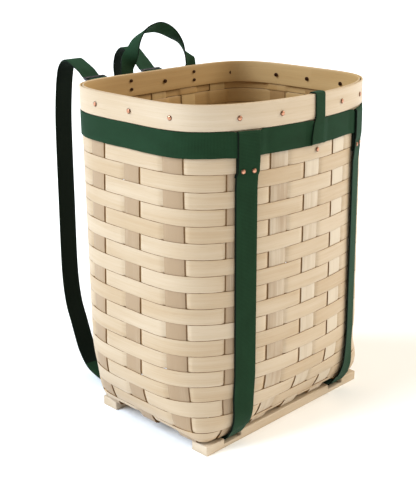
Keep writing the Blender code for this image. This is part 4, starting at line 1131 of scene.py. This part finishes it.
def strap_piece(name, centres, across, halves, number, thickness, shadow_border=0.0):
    """A length of webbing along a line of centres, with a painted shadow border on its first side."""
    points = ribbon_points(centres, across, halves, shadow_border)
    piece = laid_grid(name, points, strip_uvs(points, number))
    return marked(thickened(piece, thickness, 0.30 * thickness), shadow_border=shadow_border)


def front_strap_x(hand, height):
    """X of the middle of a front strap, whose doubled top sits a little to one side."""
    lean = STRAP_LEANS[hand] * height / RIM_TOP
    doubled = DOUBLED_LEAN * ease((height - FRONT_RIVET_Z + DOUBLED_BELOW_RIVET) / DOUBLED_EASE)
    return hand * lerp(NOTCH_X, STRAP_X_TOP, height / RIM_TOP) + lean + doubled


class BASKET_OT_front_straps(bpy.types.Operator):
    """Lay the straps that loop over the band and pass down the face and under the base"""

    bl_idname = "pack_basket.front_straps"
    bl_label = "Front straps"

    def execute(self, context):
        sizes = context.scene.basket_sizes
        for side, hand in SIDES:
            self.lay(side, hand, sizes)
        return {"FINISHED"}

    def lay(self, side, hand, sizes):
        """One strap: folded over the band, down the face and through the notches."""
        tail = BAND_BOTTOM - STRAP_TAIL
        line = [(LOOP_UNDER, tail), (LOOP_UNDER, BAND_TOP - 0.001)]
        radius = 0.5 * (LOOP_OVER - LOOP_UNDER)
        line += [(LOOP_UNDER + radius * (1.0 + math.cos(turn)), BAND_TOP + 1.3 * radius * math.sin(turn))
                 for turn in np.linspace(math.pi, 0.0, 9)]
        line += [(LOOP_OVER, BAND_BOTTOM - 0.001), (STRAP_DOUBLED, FRONT_RIVET_Z + 0.004),
                 (STRAP_DOUBLED, tail), (STRAP_STANDS[0][0], tail - 0.014), *STRAP_STANDS]
        number = STAKES.index(("front", int(2 * hand)))
        line = softened(polyline(line, 0.0018), 2)
        centres, across = [], []
        for offset, height in line:
            place, way, outer = wall_frame(height, number)
            shift = (front_strap_x(hand, height) - place[0]) / way[0]
            centres.append(place + way * shift + outer * offset)
            across.append(way)
        dips = [(inward - SKID_OUTER_Y, height) for inward, height in MOUTH_STEPS]
        dips += [(0.0, STRAP_FLOOR), (FIXED_END_Y - STRAP_END_GAP, STRAP_FLOOR)]
        path = [centres[-1]] + [np.array([hand * NOTCH_X, y, z]) for y, z in dips]
        lower = softened(polyline(path, 0.003), 3)[1:]
        centres += list(lower)
        across += [RIGHTWARD] * len(lower)
        halves = [0.5 * sizes.webbing_width] * len(centres)
        piece = strap_piece("strap_front_" + side, np.array(centres), across, halves,
                            60 + int(hand), sizes.webbing_thickness, shadow_border=STRAP_SHADOW_BORDER)
        settle(piece, finish_named("webbing"), "green_webbing", "basket", "front_strap_" + side)


class BASKET_OT_keeper(bpy.types.Operator):
    """Lay the tab that comes over the rim and holds the band up"""

    bl_idname = "pack_basket.keeper"
    bl_label = "Band keeper"

    def execute(self, context):
        sizes = context.scene.basket_sizes
        narrow, wide = KEEPER_NARROW_HALF, KEEPER_HALF_WIDTH
        top = RIM_TOP + 0.0011
        inner, inner_rim, outer_rim = -0.0033, -0.0046, 0.0043
        aside, turn_z = -0.0020, BELT_BOTTOM + KEEPER_LIFT
        line = [(inner, BELT_BOTTOM - STRAP_TAIL, narrow, 0.0), (inner, BELT_BOTTOM + 0.007, narrow, 0.0),
                (inner, RIM_BOTTOM - 0.004, narrow, 0.0), (inner_rim, RIM_BOTTOM + 0.002, narrow, 0.002),
                (inner_rim, top - 0.0010, narrow, 0.002), (inner_rim + 0.0012, top, narrow, 0.0025),
                (outer_rim - 0.0012, top, narrow, 0.0030), (outer_rim, top - 0.0012, narrow, 0.0035),
                (outer_rim, RIM_BOTTOM + 0.010, narrow, 0.0045),
                (outer_rim + 0.0006, RIM_BOTTOM + 0.002, narrow, 0.0040),
                (LOOP_OVER, BAND_TOP - 0.0020, 0.0110, 0.0), (LOOP_OVER, BELT_BOTTOM + 0.010, wide, aside),
                (LOOP_OVER, turn_z, wide, aside)]
        radius = 0.5 * (LOOP_OVER - LOOP_UNDER)
        line += [(LOOP_UNDER + radius * (1.0 + math.cos(turn)), turn_z - 1.2 * radius * math.sin(turn),
                  wide, aside) for turn in np.linspace(0.0, math.pi, 9)[1:]]
        line.append((LOOP_UNDER, BELT_BOTTOM + 0.022, wide, aside))
        line = softened(polyline(line, 0.0012), 1)
        centres, across = [], []
        for offset, height, _, beside in line:
            place, way, outer = front_frame(min(height, RIM_TOP), KEEPER_X)
            place[2] = height
            outer[2] = 0.0
            centres.append(place + unit(outer) * offset + way * beside)
            across.append(way)
        piece = strap_piece("keeper_tab", np.array(centres), across, line[:, 2], 64,
                            sizes.webbing_thickness)
        settle(piece, finish_named("webbing"), "green_webbing", "basket", "band_keeper")
        return {"FINISHED"}


def front_frame(height, x):
    """A place on the front face at an X: the point, the way across and the way out."""
    step = 0.001
    plan = plan_at(height)
    here = np.append(face_point(plan, "front", x), height)
    beside = np.append(face_point(plan, "front", x + step), height)
    above = np.append(face_point(plan_at(height + step), "front", x), height + step)
    across = unit(beside - here)
    return here, across, unit(np.cross(across, above - here))


# Shoulder straps: shares are of their reach behind the wall and of the rim's height
BACK_Y = RIM_PLAN[2] + RIM_PLAN[1]
FLOOR_RUN = 0.075
STRAP_REACH = 0.147
FLOOR_SHARES = ((0.5, 0.0197), (0.98, 0.0377))
RISE_SHARES = (
    (0.348, 0.076), (0.431, 0.113), (0.527, 0.166), (0.638, 0.229), (0.735, 0.335),
    (0.850, 0.556), (0.932, 0.718), (0.985, 0.840), (1.000, 0.945), (0.985, 0.988),
    (0.937, 1.014), (0.865, 1.0285), (0.800, 1.0215), (0.715, 1.005), (0.640, 0.990),
)
CREST_LIFT = 0.0042
CREST_FROM = 0.36
SHADE_TOP = 0.40
SHADE_TOP_REACH_SHARE = 0.80
SHOULDER_X_TOP = 0.055
BUCKLE_REACH = 0.068
BUCKLE_BELOW_RIM = 0.0160
BUCKLE_SLOPE_SHARE = 0.38
BUCKLE_THICKNESS = 0.0024
BUCKLE_BAR = 0.0032
BUCKLE_BAR_PITCH = 0.010
BUCKLE_RAIL = 0.004
BUCKLE_CLEARANCE = 0.0002
RAMP_LEAD = 0.018
TAIL_DIP = 0.0040
TAIL_END = 0.0056
BUCKLE_CORNER = 0.003
BUCKLE_SOFTNESS = 0.00075
BUCKLE_Z = RIM_TOP - BUCKLE_BELOW_RIM
TAB_ROOT_RISE = 0.004
TAB_STAND = 0.0052
TAB_BEND_RADIUS = 0.014
TAB_CLEARANCE = 0.0003
TAB_BLEND_FROM = 0.030
TAB_BLEND_TO = 0.006
RIGHTWARD = np.array([1.0, 0.0, 0.0])


def square_to(tangent, way):
    """The way nearest to a wanted one that is square to a line."""
    tangent = unit(tangent)
    return unit(way - tangent * np.dot(way, tangent))


def buckle_frame():
    """The buckle's centre in Y and Z, the way down its ramp and the way up from it."""
    centre = np.array([BACK_Y + BUCKLE_REACH, BUCKLE_Z])
    down = unit(np.array([-1.0, -BUCKLE_SLOPE_SHARE]))
    return centre, down, np.array([down[1], -down[0]])


def strap_x(height):
    """How far out a shoulder strap is at one height."""
    share = (height - STRAP_FLOOR) / (BUCKLE_Z - STRAP_FLOOR)
    return lerp(NOTCH_X, SHOULDER_X_TOP, min(max(share, 0.0), 1.0))


class BASKET_OT_shoulder_straps(bpy.types.Operator):
    """Lay the wearer's straps: out of the rear notches, up behind the back, into their buckles"""

    bl_idname = "pack_basket.shoulder_straps"
    bl_label = "Shoulder straps"

    def execute(self, context):
        sizes = context.scene.basket_sizes
        for side, hand in SIDES:
            self.lay(side, hand, sizes)
        return {"FINISHED"}

    def lay(self, side, hand, sizes):
        """One strap with its far end threaded through its buckle."""
        inside = SKID_OUTER_Y - 0.9 * SKID_WIDTH
        route = [(inside, STRAP_FLOOR), (0.5 * (inside + FIXED_END_Y), STRAP_FLOOR),
                 (FIXED_END_Y, STRAP_FLOOR)]
        route += [(FIXED_END_Y + FLOOR_RUN * share, RIM_TOP * rise) for share, rise in FLOOR_SHARES]
        for reach, rise in RISE_SHARES:
            height = RIM_TOP * rise
            near_crest = ease((height - CREST_FROM) / 0.10) * ease((reach - 0.60) / 0.25)
            lift = hand * CREST_LIFT * near_crest
            route.append((BACK_Y + STRAP_REACH * reach, height + lift))
        centre, down, up = buckle_frame()
        over = 0.5 * BUCKLE_THICKNESS + BUCKLE_CLEARANCE + 0.5 * sizes.webbing_thickness
        route.append(tuple(centre - down * RAMP_LEAD - up * over))
        curve = polyline(curve_through(route, 12), 0.004)
        top_bar = BUCKLE_BAR_PITCH + 0.5 * BUCKLE_BAR
        lean = 0.36 * (BUCKLE_BAR_PITCH - BUCKLE_BAR)
        face = 0.5 * BUCKLE_THICKNESS
        threading = [(-top_bar, -over), (-top_bar + BUCKLE_BAR, -over),
                     (-top_bar + BUCKLE_BAR + lean, -face), (-0.5 * BUCKLE_BAR - lean, face),
                     (-0.5 * BUCKLE_BAR, over), (0.5 * BUCKLE_BAR, over), (TAIL_DIP, 0.4 * over),
                     (TAIL_END, -over)]
        thread = [curve[-1]] + [centre + down * along + up * rise for along, rise in threading]
        curve = softened(np.concatenate([curve[:-1], polyline(thread, 0.0012)]), 1)
        centres = np.array([(hand * strap_x(z), y, z) for y, z in curve])
        across = [square_to(tangent, RIGHTWARD) for tangent in np.gradient(centres, axis=0)]
        halves = [0.5 * sizes.webbing_width] * len(centres)
        piece = strap_piece("strap_shoulder_" + side, centres, across, halves,
                            70 + int(hand), sizes.webbing_thickness)
        self.shadow(piece)
        settle(piece, finish_named("webbing"), "green_webbing", None, "shoulder_strap_" + side)
        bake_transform(piece)

    def shadow(self, piece):
        """Mark the upright faces that look at the wall, which get painted shade."""
        ramp_end = SHIFT + BACK_Y + SHADE_TOP_REACH_SHARE * STRAP_REACH
        add_mark(piece, "shadow", [face.normal.y < -0.55
                                   and (face.center.y > ramp_end or face.center.z < SHADE_TOP)
                                   for face in piece.data.polygons])


class BASKET_OT_tabs(bpy.types.Operator):
    """Lay the short tabs that run from the band round the buckles' lower bars"""

    bl_idname = "pack_basket.tabs"
    bl_label = "Buckle tabs"

    def execute(self, context):
        sizes = context.scene.basket_sizes
        for side, hand in SIDES:
            self.lay(side, hand, sizes)
        return {"FINISHED"}

    def lay(self, side, hand, sizes):
        """One tab: up from the band, out to the buckle and folded round its bar."""
        centre, down, up = buckle_frame()
        bar = centre + down * BUCKLE_BAR_PITCH
        number = STAKES.index(("back", int(hand)))
        root_z = BAND_BOTTOM + TAB_ROOT_RISE
        root_y = max(wall_frame(height, number)[0][1] for height in (root_z, BAND_TOP)) + TAB_STAND
        lean = math.atan2(-down[1], -down[0])
        turn = 0.5 * math.pi - lean
        radius = TAB_BEND_RADIUS
        corner_z = bar[1] - (bar[0] - root_y) * math.tan(lean)
        start_z = corner_z - radius * math.tan(0.5 * turn)
        line = [(root_y, root_z), (root_y, start_z)]
        for angle in np.linspace(0.0, turn, 7)[1:]:
            line.append((root_y + radius * (1.0 - math.cos(angle)), start_z + radius * math.sin(angle)))
        wrap = 0.5 * BUCKLE_BAR + TAB_CLEARANCE + 0.5 * sizes.webbing_thickness
        upper = [(0.016, 0.0010), (0.004, wrap - 0.0004)]
        fold = [(-wrap * math.sin(angle), wrap * math.cos(angle)) for angle in np.linspace(0.0, math.pi, 9)]
        lower = [(0.006, -wrap - 0.0001), (0.017, -0.0016)]
        line += [tuple(bar + down * along + up * rise) for along, rise in upper + fold + lower]
        curve = softened(polyline(line, 0.0014), 1)
        centres = np.array([(hand * SHOULDER_X_TOP, y, z) for y, z in curve])
        across = [RIGHTWARD] * len(centres)
        halves = [0.5 * sizes.webbing_width] * len(centres)
        piece = strap_piece("tab_" + side, centres, across, halves, 74 + int(hand),
                            0.9 * sizes.webbing_thickness)
        settle(piece, finish_named("webbing"), "green_webbing", None, "strap_tab_" + side)
        near = bar + down * TAB_BLEND_FROM
        far = bar + down * TAB_BLEND_TO
        near[0] + SHIFT
        far[0] + SHIFT
        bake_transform(piece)


class BASKET_OT_buckles(bpy.types.Operator):
    """Make the two slides of three bars each"""

    bl_idname = "pack_basket.buckles"
    bl_label = "Buckles"

    def execute(self, context):
        for side, hand in SIDES:
            self.make(side, hand, context.scene.basket_sizes)
        return {"FINISHED"}

    def make(self, side, hand, sizes):
        """One slide: a plate with two slots, rounded corners and soft edges."""
        centre, down, _ = buckle_frame()
        half_slot = 0.5 * sizes.webbing_width + 0.001
        half_width = half_slot + BUCKLE_RAIL
        half_length = BUCKLE_BAR_PITCH + 0.5 * BUCKLE_BAR
        xs = [-half_width, -half_slot, half_slot, half_width]
        ys = [-half_length, -half_length + BUCKLE_BAR, -0.5 * BUCKLE_BAR, 0.5 * BUCKLE_BAR,
              half_length - BUCKLE_BAR, half_length]
        points = np.array([[(hand * SHOULDER_X_TOP + x, *(centre + down * y)) for y in ys] for x in xs])
        uvs = np.zeros(points.shape[:2] + (2,))
        piece = laid_grid("slide_" + side, points, uvs)
        middle = Vector((hand * SHOULDER_X_TOP, centre[0] + SHIFT, centre[1]))
        way = Vector((0.0, down[0], down[1]))

        def in_slot(face):
            away = face.center - middle
            along = abs(away.dot(way))
            return abs(away.x) < half_slot and 0.5 * BUCKLE_BAR < along < half_length - BUCKLE_BAR

        def at_corner(vertex):
            away = vertex.co - middle
            return abs(away.x) > 0.99 * half_width and abs(away.dot(way)) > 0.99 * half_length

        edit_only(piece, "FACE", in_slot)
        bpy.ops.mesh.delete(type="FACE")
        edit_only(piece, "VERT", at_corner)
        bpy.ops.mesh.bevel(offset=BUCKLE_CORNER, segments=3, affect="VERTICES")
        bpy.ops.object.mode_set(mode="OBJECT")
        apply_modifier(piece, "SOLIDIFY", thickness=BUCKLE_THICKNESS, offset=0.0)
        apply_modifier(piece, "BEVEL", width=BUCKLE_SOFTNESS, segments=3, limit_method="ANGLE",
                       angle_limit=math.radians(40.0))
        bpy.ops.object.shade_smooth_by_angle(angle=math.radians(50.0))
        settle(piece, finish_named("black"), "buckle_black", "strap_" + side, "strap_buckle_" + side)


# Carrying handle: its path is in shares of its reach in X, Y and Z, and its turn in degrees
HANDLE_X = 0.0615
HANDLE_SHIFT = 0.0075
HANDLE_RISE = 0.0553
HANDLE_BULGE = 0.002
HANDLE_WIDTH = 0.022
HANDLE_TAB_DROP = 0.029
HANDLE_OFFSET = 0.0043
HANDLE_START = 0.001
HANDLE_PATH_SHARES = (
    (-1.0, 0.0, 0.0, -90.0), (-0.985, 0.3, 0.08, -86.0), (-0.93, 0.8, 0.22, -66.0),
    (-0.80, 0.8, 0.47, -12.0), (-0.683, 0.5, 0.72, 9.0), (-0.478, 0.2, 0.925, 27.0),
    (-0.26, 0.1, 0.985, 38.0), (-0.05, 0.0, 1.0, 43.0), (0.16, 0.1, 0.940, 38.0),
    (0.355, 0.2, 0.825, 26.0), (0.560, 0.5, 0.655, 4.0), (0.742, 0.8, 0.460, -24.0),
    (0.862, 0.8, 0.22, -44.0), (0.948, 0.4, 0.08, -66.0), (1.0, 0.0, 0.0, -90.0),
)


def handle_spot(hand, height):
    """The wall's place under one end of the handle."""
    number = STAKES.index(("back", int(hand)))
    place, way, outer = wall_frame(height, number)
    shift = (HANDLE_SHIFT + hand * HANDLE_X - place[0]) / way[0]
    return place + way * shift, way, outer


class BASKET_OT_handle(bpy.types.Operator):
    """Lay the carrying handle, which is riveted to the rim and turns over on its way up"""

    bl_idname = "pack_basket.handle"
    bl_label = "Carrying handle"

    def execute(self, context):
        sizes = context.scene.basket_sizes
        hinge = JOINTS["handle_fold"]["pos_m"]
        left_leg, right_leg = self.leg(-1.0), self.leg(1.0)
        foot_y = left_leg[-1][1]
        start = hinge[2] + HANDLE_START
        route = [(HANDLE_SHIFT + HANDLE_X * x, foot_y + HANDLE_BULGE * y, start + HANDLE_RISE * z,
                  math.radians(turn)) for x, y, z, turn in HANDLE_PATH_SHARES]
        curve = curve_through(route, 8)
        across = []
        for tangent, turn in zip(np.gradient(curve[:, :3], axis=0), curve[:, 3]):
            side = square_to(tangent, np.array([0.0, 1.0, 0.0]))
            lift = np.cross(side, unit(tangent))
            across.append(unit(side * math.cos(turn) + lift * math.sin(turn)))
        centres = np.array(left_leg + list(curve[:, :3]) + right_leg[::-1])
        across = [-RIGHTWARD] * len(left_leg) + across + [RIGHTWARD] * len(right_leg)
        across = softened(np.array(across), 2)
        across /= np.linalg.norm(across, axis=1)[:, None]
        halves = [0.5 * HANDLE_WIDTH] * len(centres)
        piece = strap_piece("handle_strap", softened(centres, 1), across, halves, 80,
                            sizes.webbing_thickness)
        self.paint_arch_light(piece, hinge[2])
        settle(piece, finish_named("webbing"), "green_webbing", None, "carry_handle",
               "handle_tab_left", "handle_tab_right")
        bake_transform(piece)
        return {"FINISHED"}

    def leg(self, hand):
        """Centres of one end of the handle, from its lower edge up to the rim's top."""
        spots = [handle_spot(hand, height)
                 for height in np.linspace(RIM_TOP - HANDLE_TAB_DROP, RIM_TOP, 6)]
        return [place + outer * HANDLE_OFFSET for place, _, outer in spots]

    def paint_arch_light(self, piece, floor):
        """Mark the faces of the arch that look forward and down, which get painted light."""
        values = []
        for face in piece.data.polygons:
            forward = ease((-face.normal.y - 0.2) / 0.3) * ease((0.15 - face.normal.z) / 0.2)
            values.append(forward * ease((face.center.z - floor - 0.018) / 0.016))
        add_mark(piece, "lit", values)


# Rivets: drops, how far out their two faces sit, their sizes, and where a rim rivet sits off its stake
FRONT_RIVET_LOWER = 0.0012
KEEPER_RIVET_DROP = 0.0075
RIM_RIVET_DROP = 0.017
HANDLE_RIVET_DROPS = (0.0215, 0.0095)
RIVET_FACES = {"front": (0.0060, 0.0022), "handle": (0.0052, -0.0033),
               "keeper": (0.0019, -0.0043), "rim": (0.0032, -0.0033)}
RIVET_SIZE_SHARES = {"front": 1.0, "handle": 0.85, "keeper": 1.0, "rim": 1.05}
RIVETLESS_STAKES = (("front", 0), ("back", 1), ("back", -1))
RIVET_SHIFTS = {("back", 2): -0.024, ("back", -2): 0.024, ("back", 0): -0.010,
                ("right", 0): 0.008, ("right", -1): 0.011}
HEAD_HEIGHT_SHARE = 0.50
HEAD_EDGE_SHARE = 0.68
# Painted shade on the head's edge
HEAD_EDGE_SHADE = 0.75
BURR_SHARE = 0.85
BURR_DEPTH = 0.0009
BURR_SOFTNESS = 0.0002


class BASKET_OT_rivets(bpy.types.Operator):
    """Set the copper rivets: through the straps, the handle's ends, the keeper and the rim"""

    bl_idname = "pack_basket.rivets"
    bl_label = "Rivets"

    def execute(self, context):
        radius = context.scene.basket_sizes.rivet_radius
        head = self.head(radius)
        burr = self.burr(radius)
        for side, hand in SIDES:
            number = STAKES.index(("front", int(2 * hand)))
            height = FRONT_RIVET_Z - FRONT_RIVET_LOWER
            place, way, _ = wall_frame(height, number)
            middle = (front_strap_x(hand, height) - place[0]) / way[0]
            for count, step in enumerate((-0.5, 0.5)):
                spot = wall_frame(height, number, middle + step * FRONT_RIVET_PITCH)
                self.set_pair(head, burr, "front", spot, "front_rivet_%s_%d" % (side, count + 1))
            for count, drop in enumerate(HANDLE_RIVET_DROPS):
                spot = handle_spot(hand, RIM_TOP - drop)
                self.set_pair(head, burr, "handle", spot, "handle_rivet_%s_%d" % (side, count + 1))
        spot = front_frame(BELT_BOTTOM - KEEPER_RIVET_DROP, KEEPER_RIVET_X)
        self.set_pair(head, burr, "keeper", spot, "keeper_rivet")
        for number, stake in enumerate(STAKES):
            if stake in RIVETLESS_STAKES:
                continue
            spot = wall_frame(RIM_TOP - RIM_RIVET_DROP, number, RIVET_SHIFTS.get(stake, 0.0))
            self.set_pair(head, burr, "rim", spot, "rim_rivet_%s_%d" % (stake[0], stake[1] + 3))
        for master in (head, burr):
            choose(master)
            bpy.ops.object.delete()
        return {"FINISHED"}

    def head(self, radius):
        """A low domed head, looking up, whose edge carries painted shade."""
        deselect()
        bpy.ops.mesh.primitive_uv_sphere_add(segments=20, ring_count=16, radius=radius)
        piece = bpy.context.object
        bpy.ops.object.mode_set(mode="EDIT")
        bpy.ops.mesh.bisect(plane_co=(0.0, 0.0, 0.0), plane_no=(0.0, 0.0, 1.0), clear_inner=True,
                            use_fill=True)
        bpy.ops.mesh.select_all(action="SELECT")
        bpy.ops.transform.resize(value=(1.0, 1.0, HEAD_HEIGHT_SHARE))
        bpy.ops.object.mode_set(mode="OBJECT")
        edge = HEAD_EDGE_SHARE * radius
        add_mark(piece, "inside", [HEAD_EDGE_SHADE * (face.center.xy.length > edge)
                                   for face in piece.data.polygons])
        return piece

    def burr(self, radius):
        """A flat washer of two plain discs, one under the other, looking down, wholly in painted shade."""
        deselect()
        bpy.ops.mesh.primitive_cylinder_add(vertices=20, radius=BURR_SHARE * radius, depth=BURR_DEPTH,
                                            location=(0.0, 0.0, -0.5 * BURR_DEPTH))
        piece = bpy.context.object
        bpy.ops.object.transform_apply(location=True)
        bpy.ops.object.mode_set(mode="EDIT")
        bpy.ops.mesh.select_all(action="SELECT")
        bpy.ops.mesh.duplicate_move(TRANSFORM_OT_translate={"value": (0.0, 0.0, -BURR_DEPTH)})
        bpy.ops.object.mode_set(mode="OBJECT")
        apply_modifier(piece, "BEVEL", width=BURR_SOFTNESS, segments=2, limit_method="ANGLE",
                       angle_limit=math.radians(40.0))
        add_mark(piece, "inside", np.ones(len(piece.data.polygons)))
        return piece

    def set_pair(self, head, burr, kind, spot, name):
        """One rivet: a copy of the head outside and of the washer inside."""
        place, _, outer = spot
        turn = Vector(outer).to_track_quat("Z", "Y").to_matrix().to_4x4()
        turn = turn @ Matrix.Scale(RIVET_SIZE_SHARES[kind], 4)
        copies = []
        for master, offset in zip((head, burr), RIVET_FACES[kind]):
            copy = master.copy()
            copy.data = master.data.copy()
            bpy.context.scene.collection.objects.link(copy)
            spot_out = Vector(place + outer * offset) + Vector((0.0, SHIFT, 0.0))
            copy.data.transform(Matrix.Translation(spot_out) @ turn)
            copies.append(copy)
        deselect()
        for copy in copies:
            copy.select_set(True)
        bpy.context.view_layer.objects.active = copies[0]
        bpy.ops.object.join()
        piece = bpy.context.object
        piece.name = "stud_" + name
        piece.data.name = piece.name
        bpy.ops.object.shade_smooth_by_angle(angle=math.radians(35.0))
        settle(piece, finish_named("copper"), "copper", "basket", *([] if kind == "rim" else [name]))


# Stage: the floor and the sensor, and where the lights stand, with climbs and spread in degrees
FLOOR_SIZE = 60.0
SENSOR_WIDTH = 36.0
KEY_SIDE = (-0.87, 0.50)
KEY_CLIMB = 38.0
FILL_SIDE = (0.84, -0.54)
FILL_CLIMB = 36.0
LIGHT_SPREAD = 42.0


class BASKET_OT_stage(bpy.types.Operator):
    """Set the pale floor, the soft light and the camera"""

    bl_idname = "pack_basket.stage"
    bl_label = "Stage"

    def execute(self, context):
        scene = context.scene
        stage = scene.basket_stage
        deselect()
        bpy.ops.mesh.primitive_plane_add(size=FLOOR_SIZE)
        floor = bpy.context.object
        floor.name = "floor"
        finish, _, shader, _ = new_finish("floor_paper")
        shader.inputs["Base Color"].default_value = (0.97, 0.97, 0.97, 1.0)
        shader.inputs["Roughness"].default_value = 0.9
        shader.inputs["Specular IOR Level"].default_value = 0.1
        floor.data.materials.append(finish)
        self.surroundings(scene, stage)
        self.light("key", KEY_SIDE, KEY_CLIMB, stage.key_power, stage.key_colour)
        self.light("fill", FILL_SIDE, FILL_CLIMB, stage.fill_power, stage.fill_colour)
        self.camera(scene, stage)
        scene.view_settings.view_transform = "Standard"
        return {"FINISHED"}

    def surroundings(self, scene, stage):
        """A pale room all round."""
        world = bpy.data.worlds.new("pale_room")
        world.use_nodes = True
        background = world.node_tree.nodes["Background"]
        background.inputs["Color"].default_value = rgba(stage.sky_colour)
        background.inputs["Strength"].default_value = stage.sky
        scene.world = world

    def light(self, name, side, climb, power, colour):
        """A wide soft light that stands far off at one side, so many degrees up."""
        deselect()
        bpy.ops.object.light_add(type="SUN", location=(2.0 * side[0], 2.0 * side[1], 2.0))
        lamp = bpy.context.object
        lamp.name = "light_" + name
        lamp.data.angle = math.radians(LIGHT_SPREAD)
        lamp.data.energy = power
        lamp.data.color = colour
        height = math.tan(math.radians(climb)) * math.hypot(*side)
        aim = -Vector((side[0], side[1], height))
        lamp.rotation_euler = aim.to_track_quat("-Z", "Y").to_euler()

    def camera(self, scene, stage):
        """The one camera."""
        deselect()
        bpy.ops.object.camera_add(location=stage.camera_place)
        camera = bpy.context.object
        camera.rotation_euler = Vector(stage.camera_aim).to_track_quat("-Z", "Y").to_euler()
        camera.data.sensor_fit = "HORIZONTAL"
        camera.data.sensor_width = SENSOR_WIDTH
        camera.data.lens = stage.lens
        scene.camera = camera


class BASKET_PT_panel(bpy.types.Panel):
    """Lists the basket's pieces and their sizes"""

    bl_idname = "BASKET_PT_panel"
    bl_label = "Pack Basket"
    bl_space_type = "VIEW_3D"
    bl_region_type = "UI"
    bl_category = "Pack Basket"

    def draw(self, context):
        layout = self.layout
        scene = context.scene
        for group in (scene.basket_sizes, scene.basket_colours, scene.basket_stage):
            box = layout.box()
            for name in group.bl_rna.properties.keys():
                if name not in ("rna_type", "name"):
                    box.prop(group, name)
        for step in STEPS:
            layout.operator(step.bl_idname)


STEPS = (BASKET_OT_stage, BASKET_OT_stakes, BASKET_OT_weavers, BASKET_OT_rim, BASKET_OT_skids,
         BASKET_OT_band, BASKET_OT_keeper, BASKET_OT_front_straps, BASKET_OT_shoulder_straps,
         BASKET_OT_tabs, BASKET_OT_buckles, BASKET_OT_handle, BASKET_OT_rivets)
CLASSES = (BasketSizes, BasketColours, BasketStage) + STEPS + (BASKET_PT_panel,)


def register():
    """Make the classes and the scene's settings known."""
    for item in CLASSES:
        bpy.utils.register_class(item)
    bpy.types.Scene.basket_sizes = bpy.props.PointerProperty(type=BasketSizes)
    bpy.types.Scene.basket_colours = bpy.props.PointerProperty(type=BasketColours)
    bpy.types.Scene.basket_stage = bpy.props.PointerProperty(type=BasketStage)


def unregister():
    """Take the settings and the classes away again."""
    del bpy.types.Scene.basket_stage
    del bpy.types.Scene.basket_colours
    del bpy.types.Scene.basket_sizes
    for item in reversed(CLASSES):
        bpy.utils.unregister_class(item)


def main():
    """Build the looks."""
    register()
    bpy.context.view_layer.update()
    for step in STEPS:
        group, name = step.bl_idname.split(".")
        getattr(getattr(bpy.ops, group), name)()


if __name__ == "__main__":
    main()
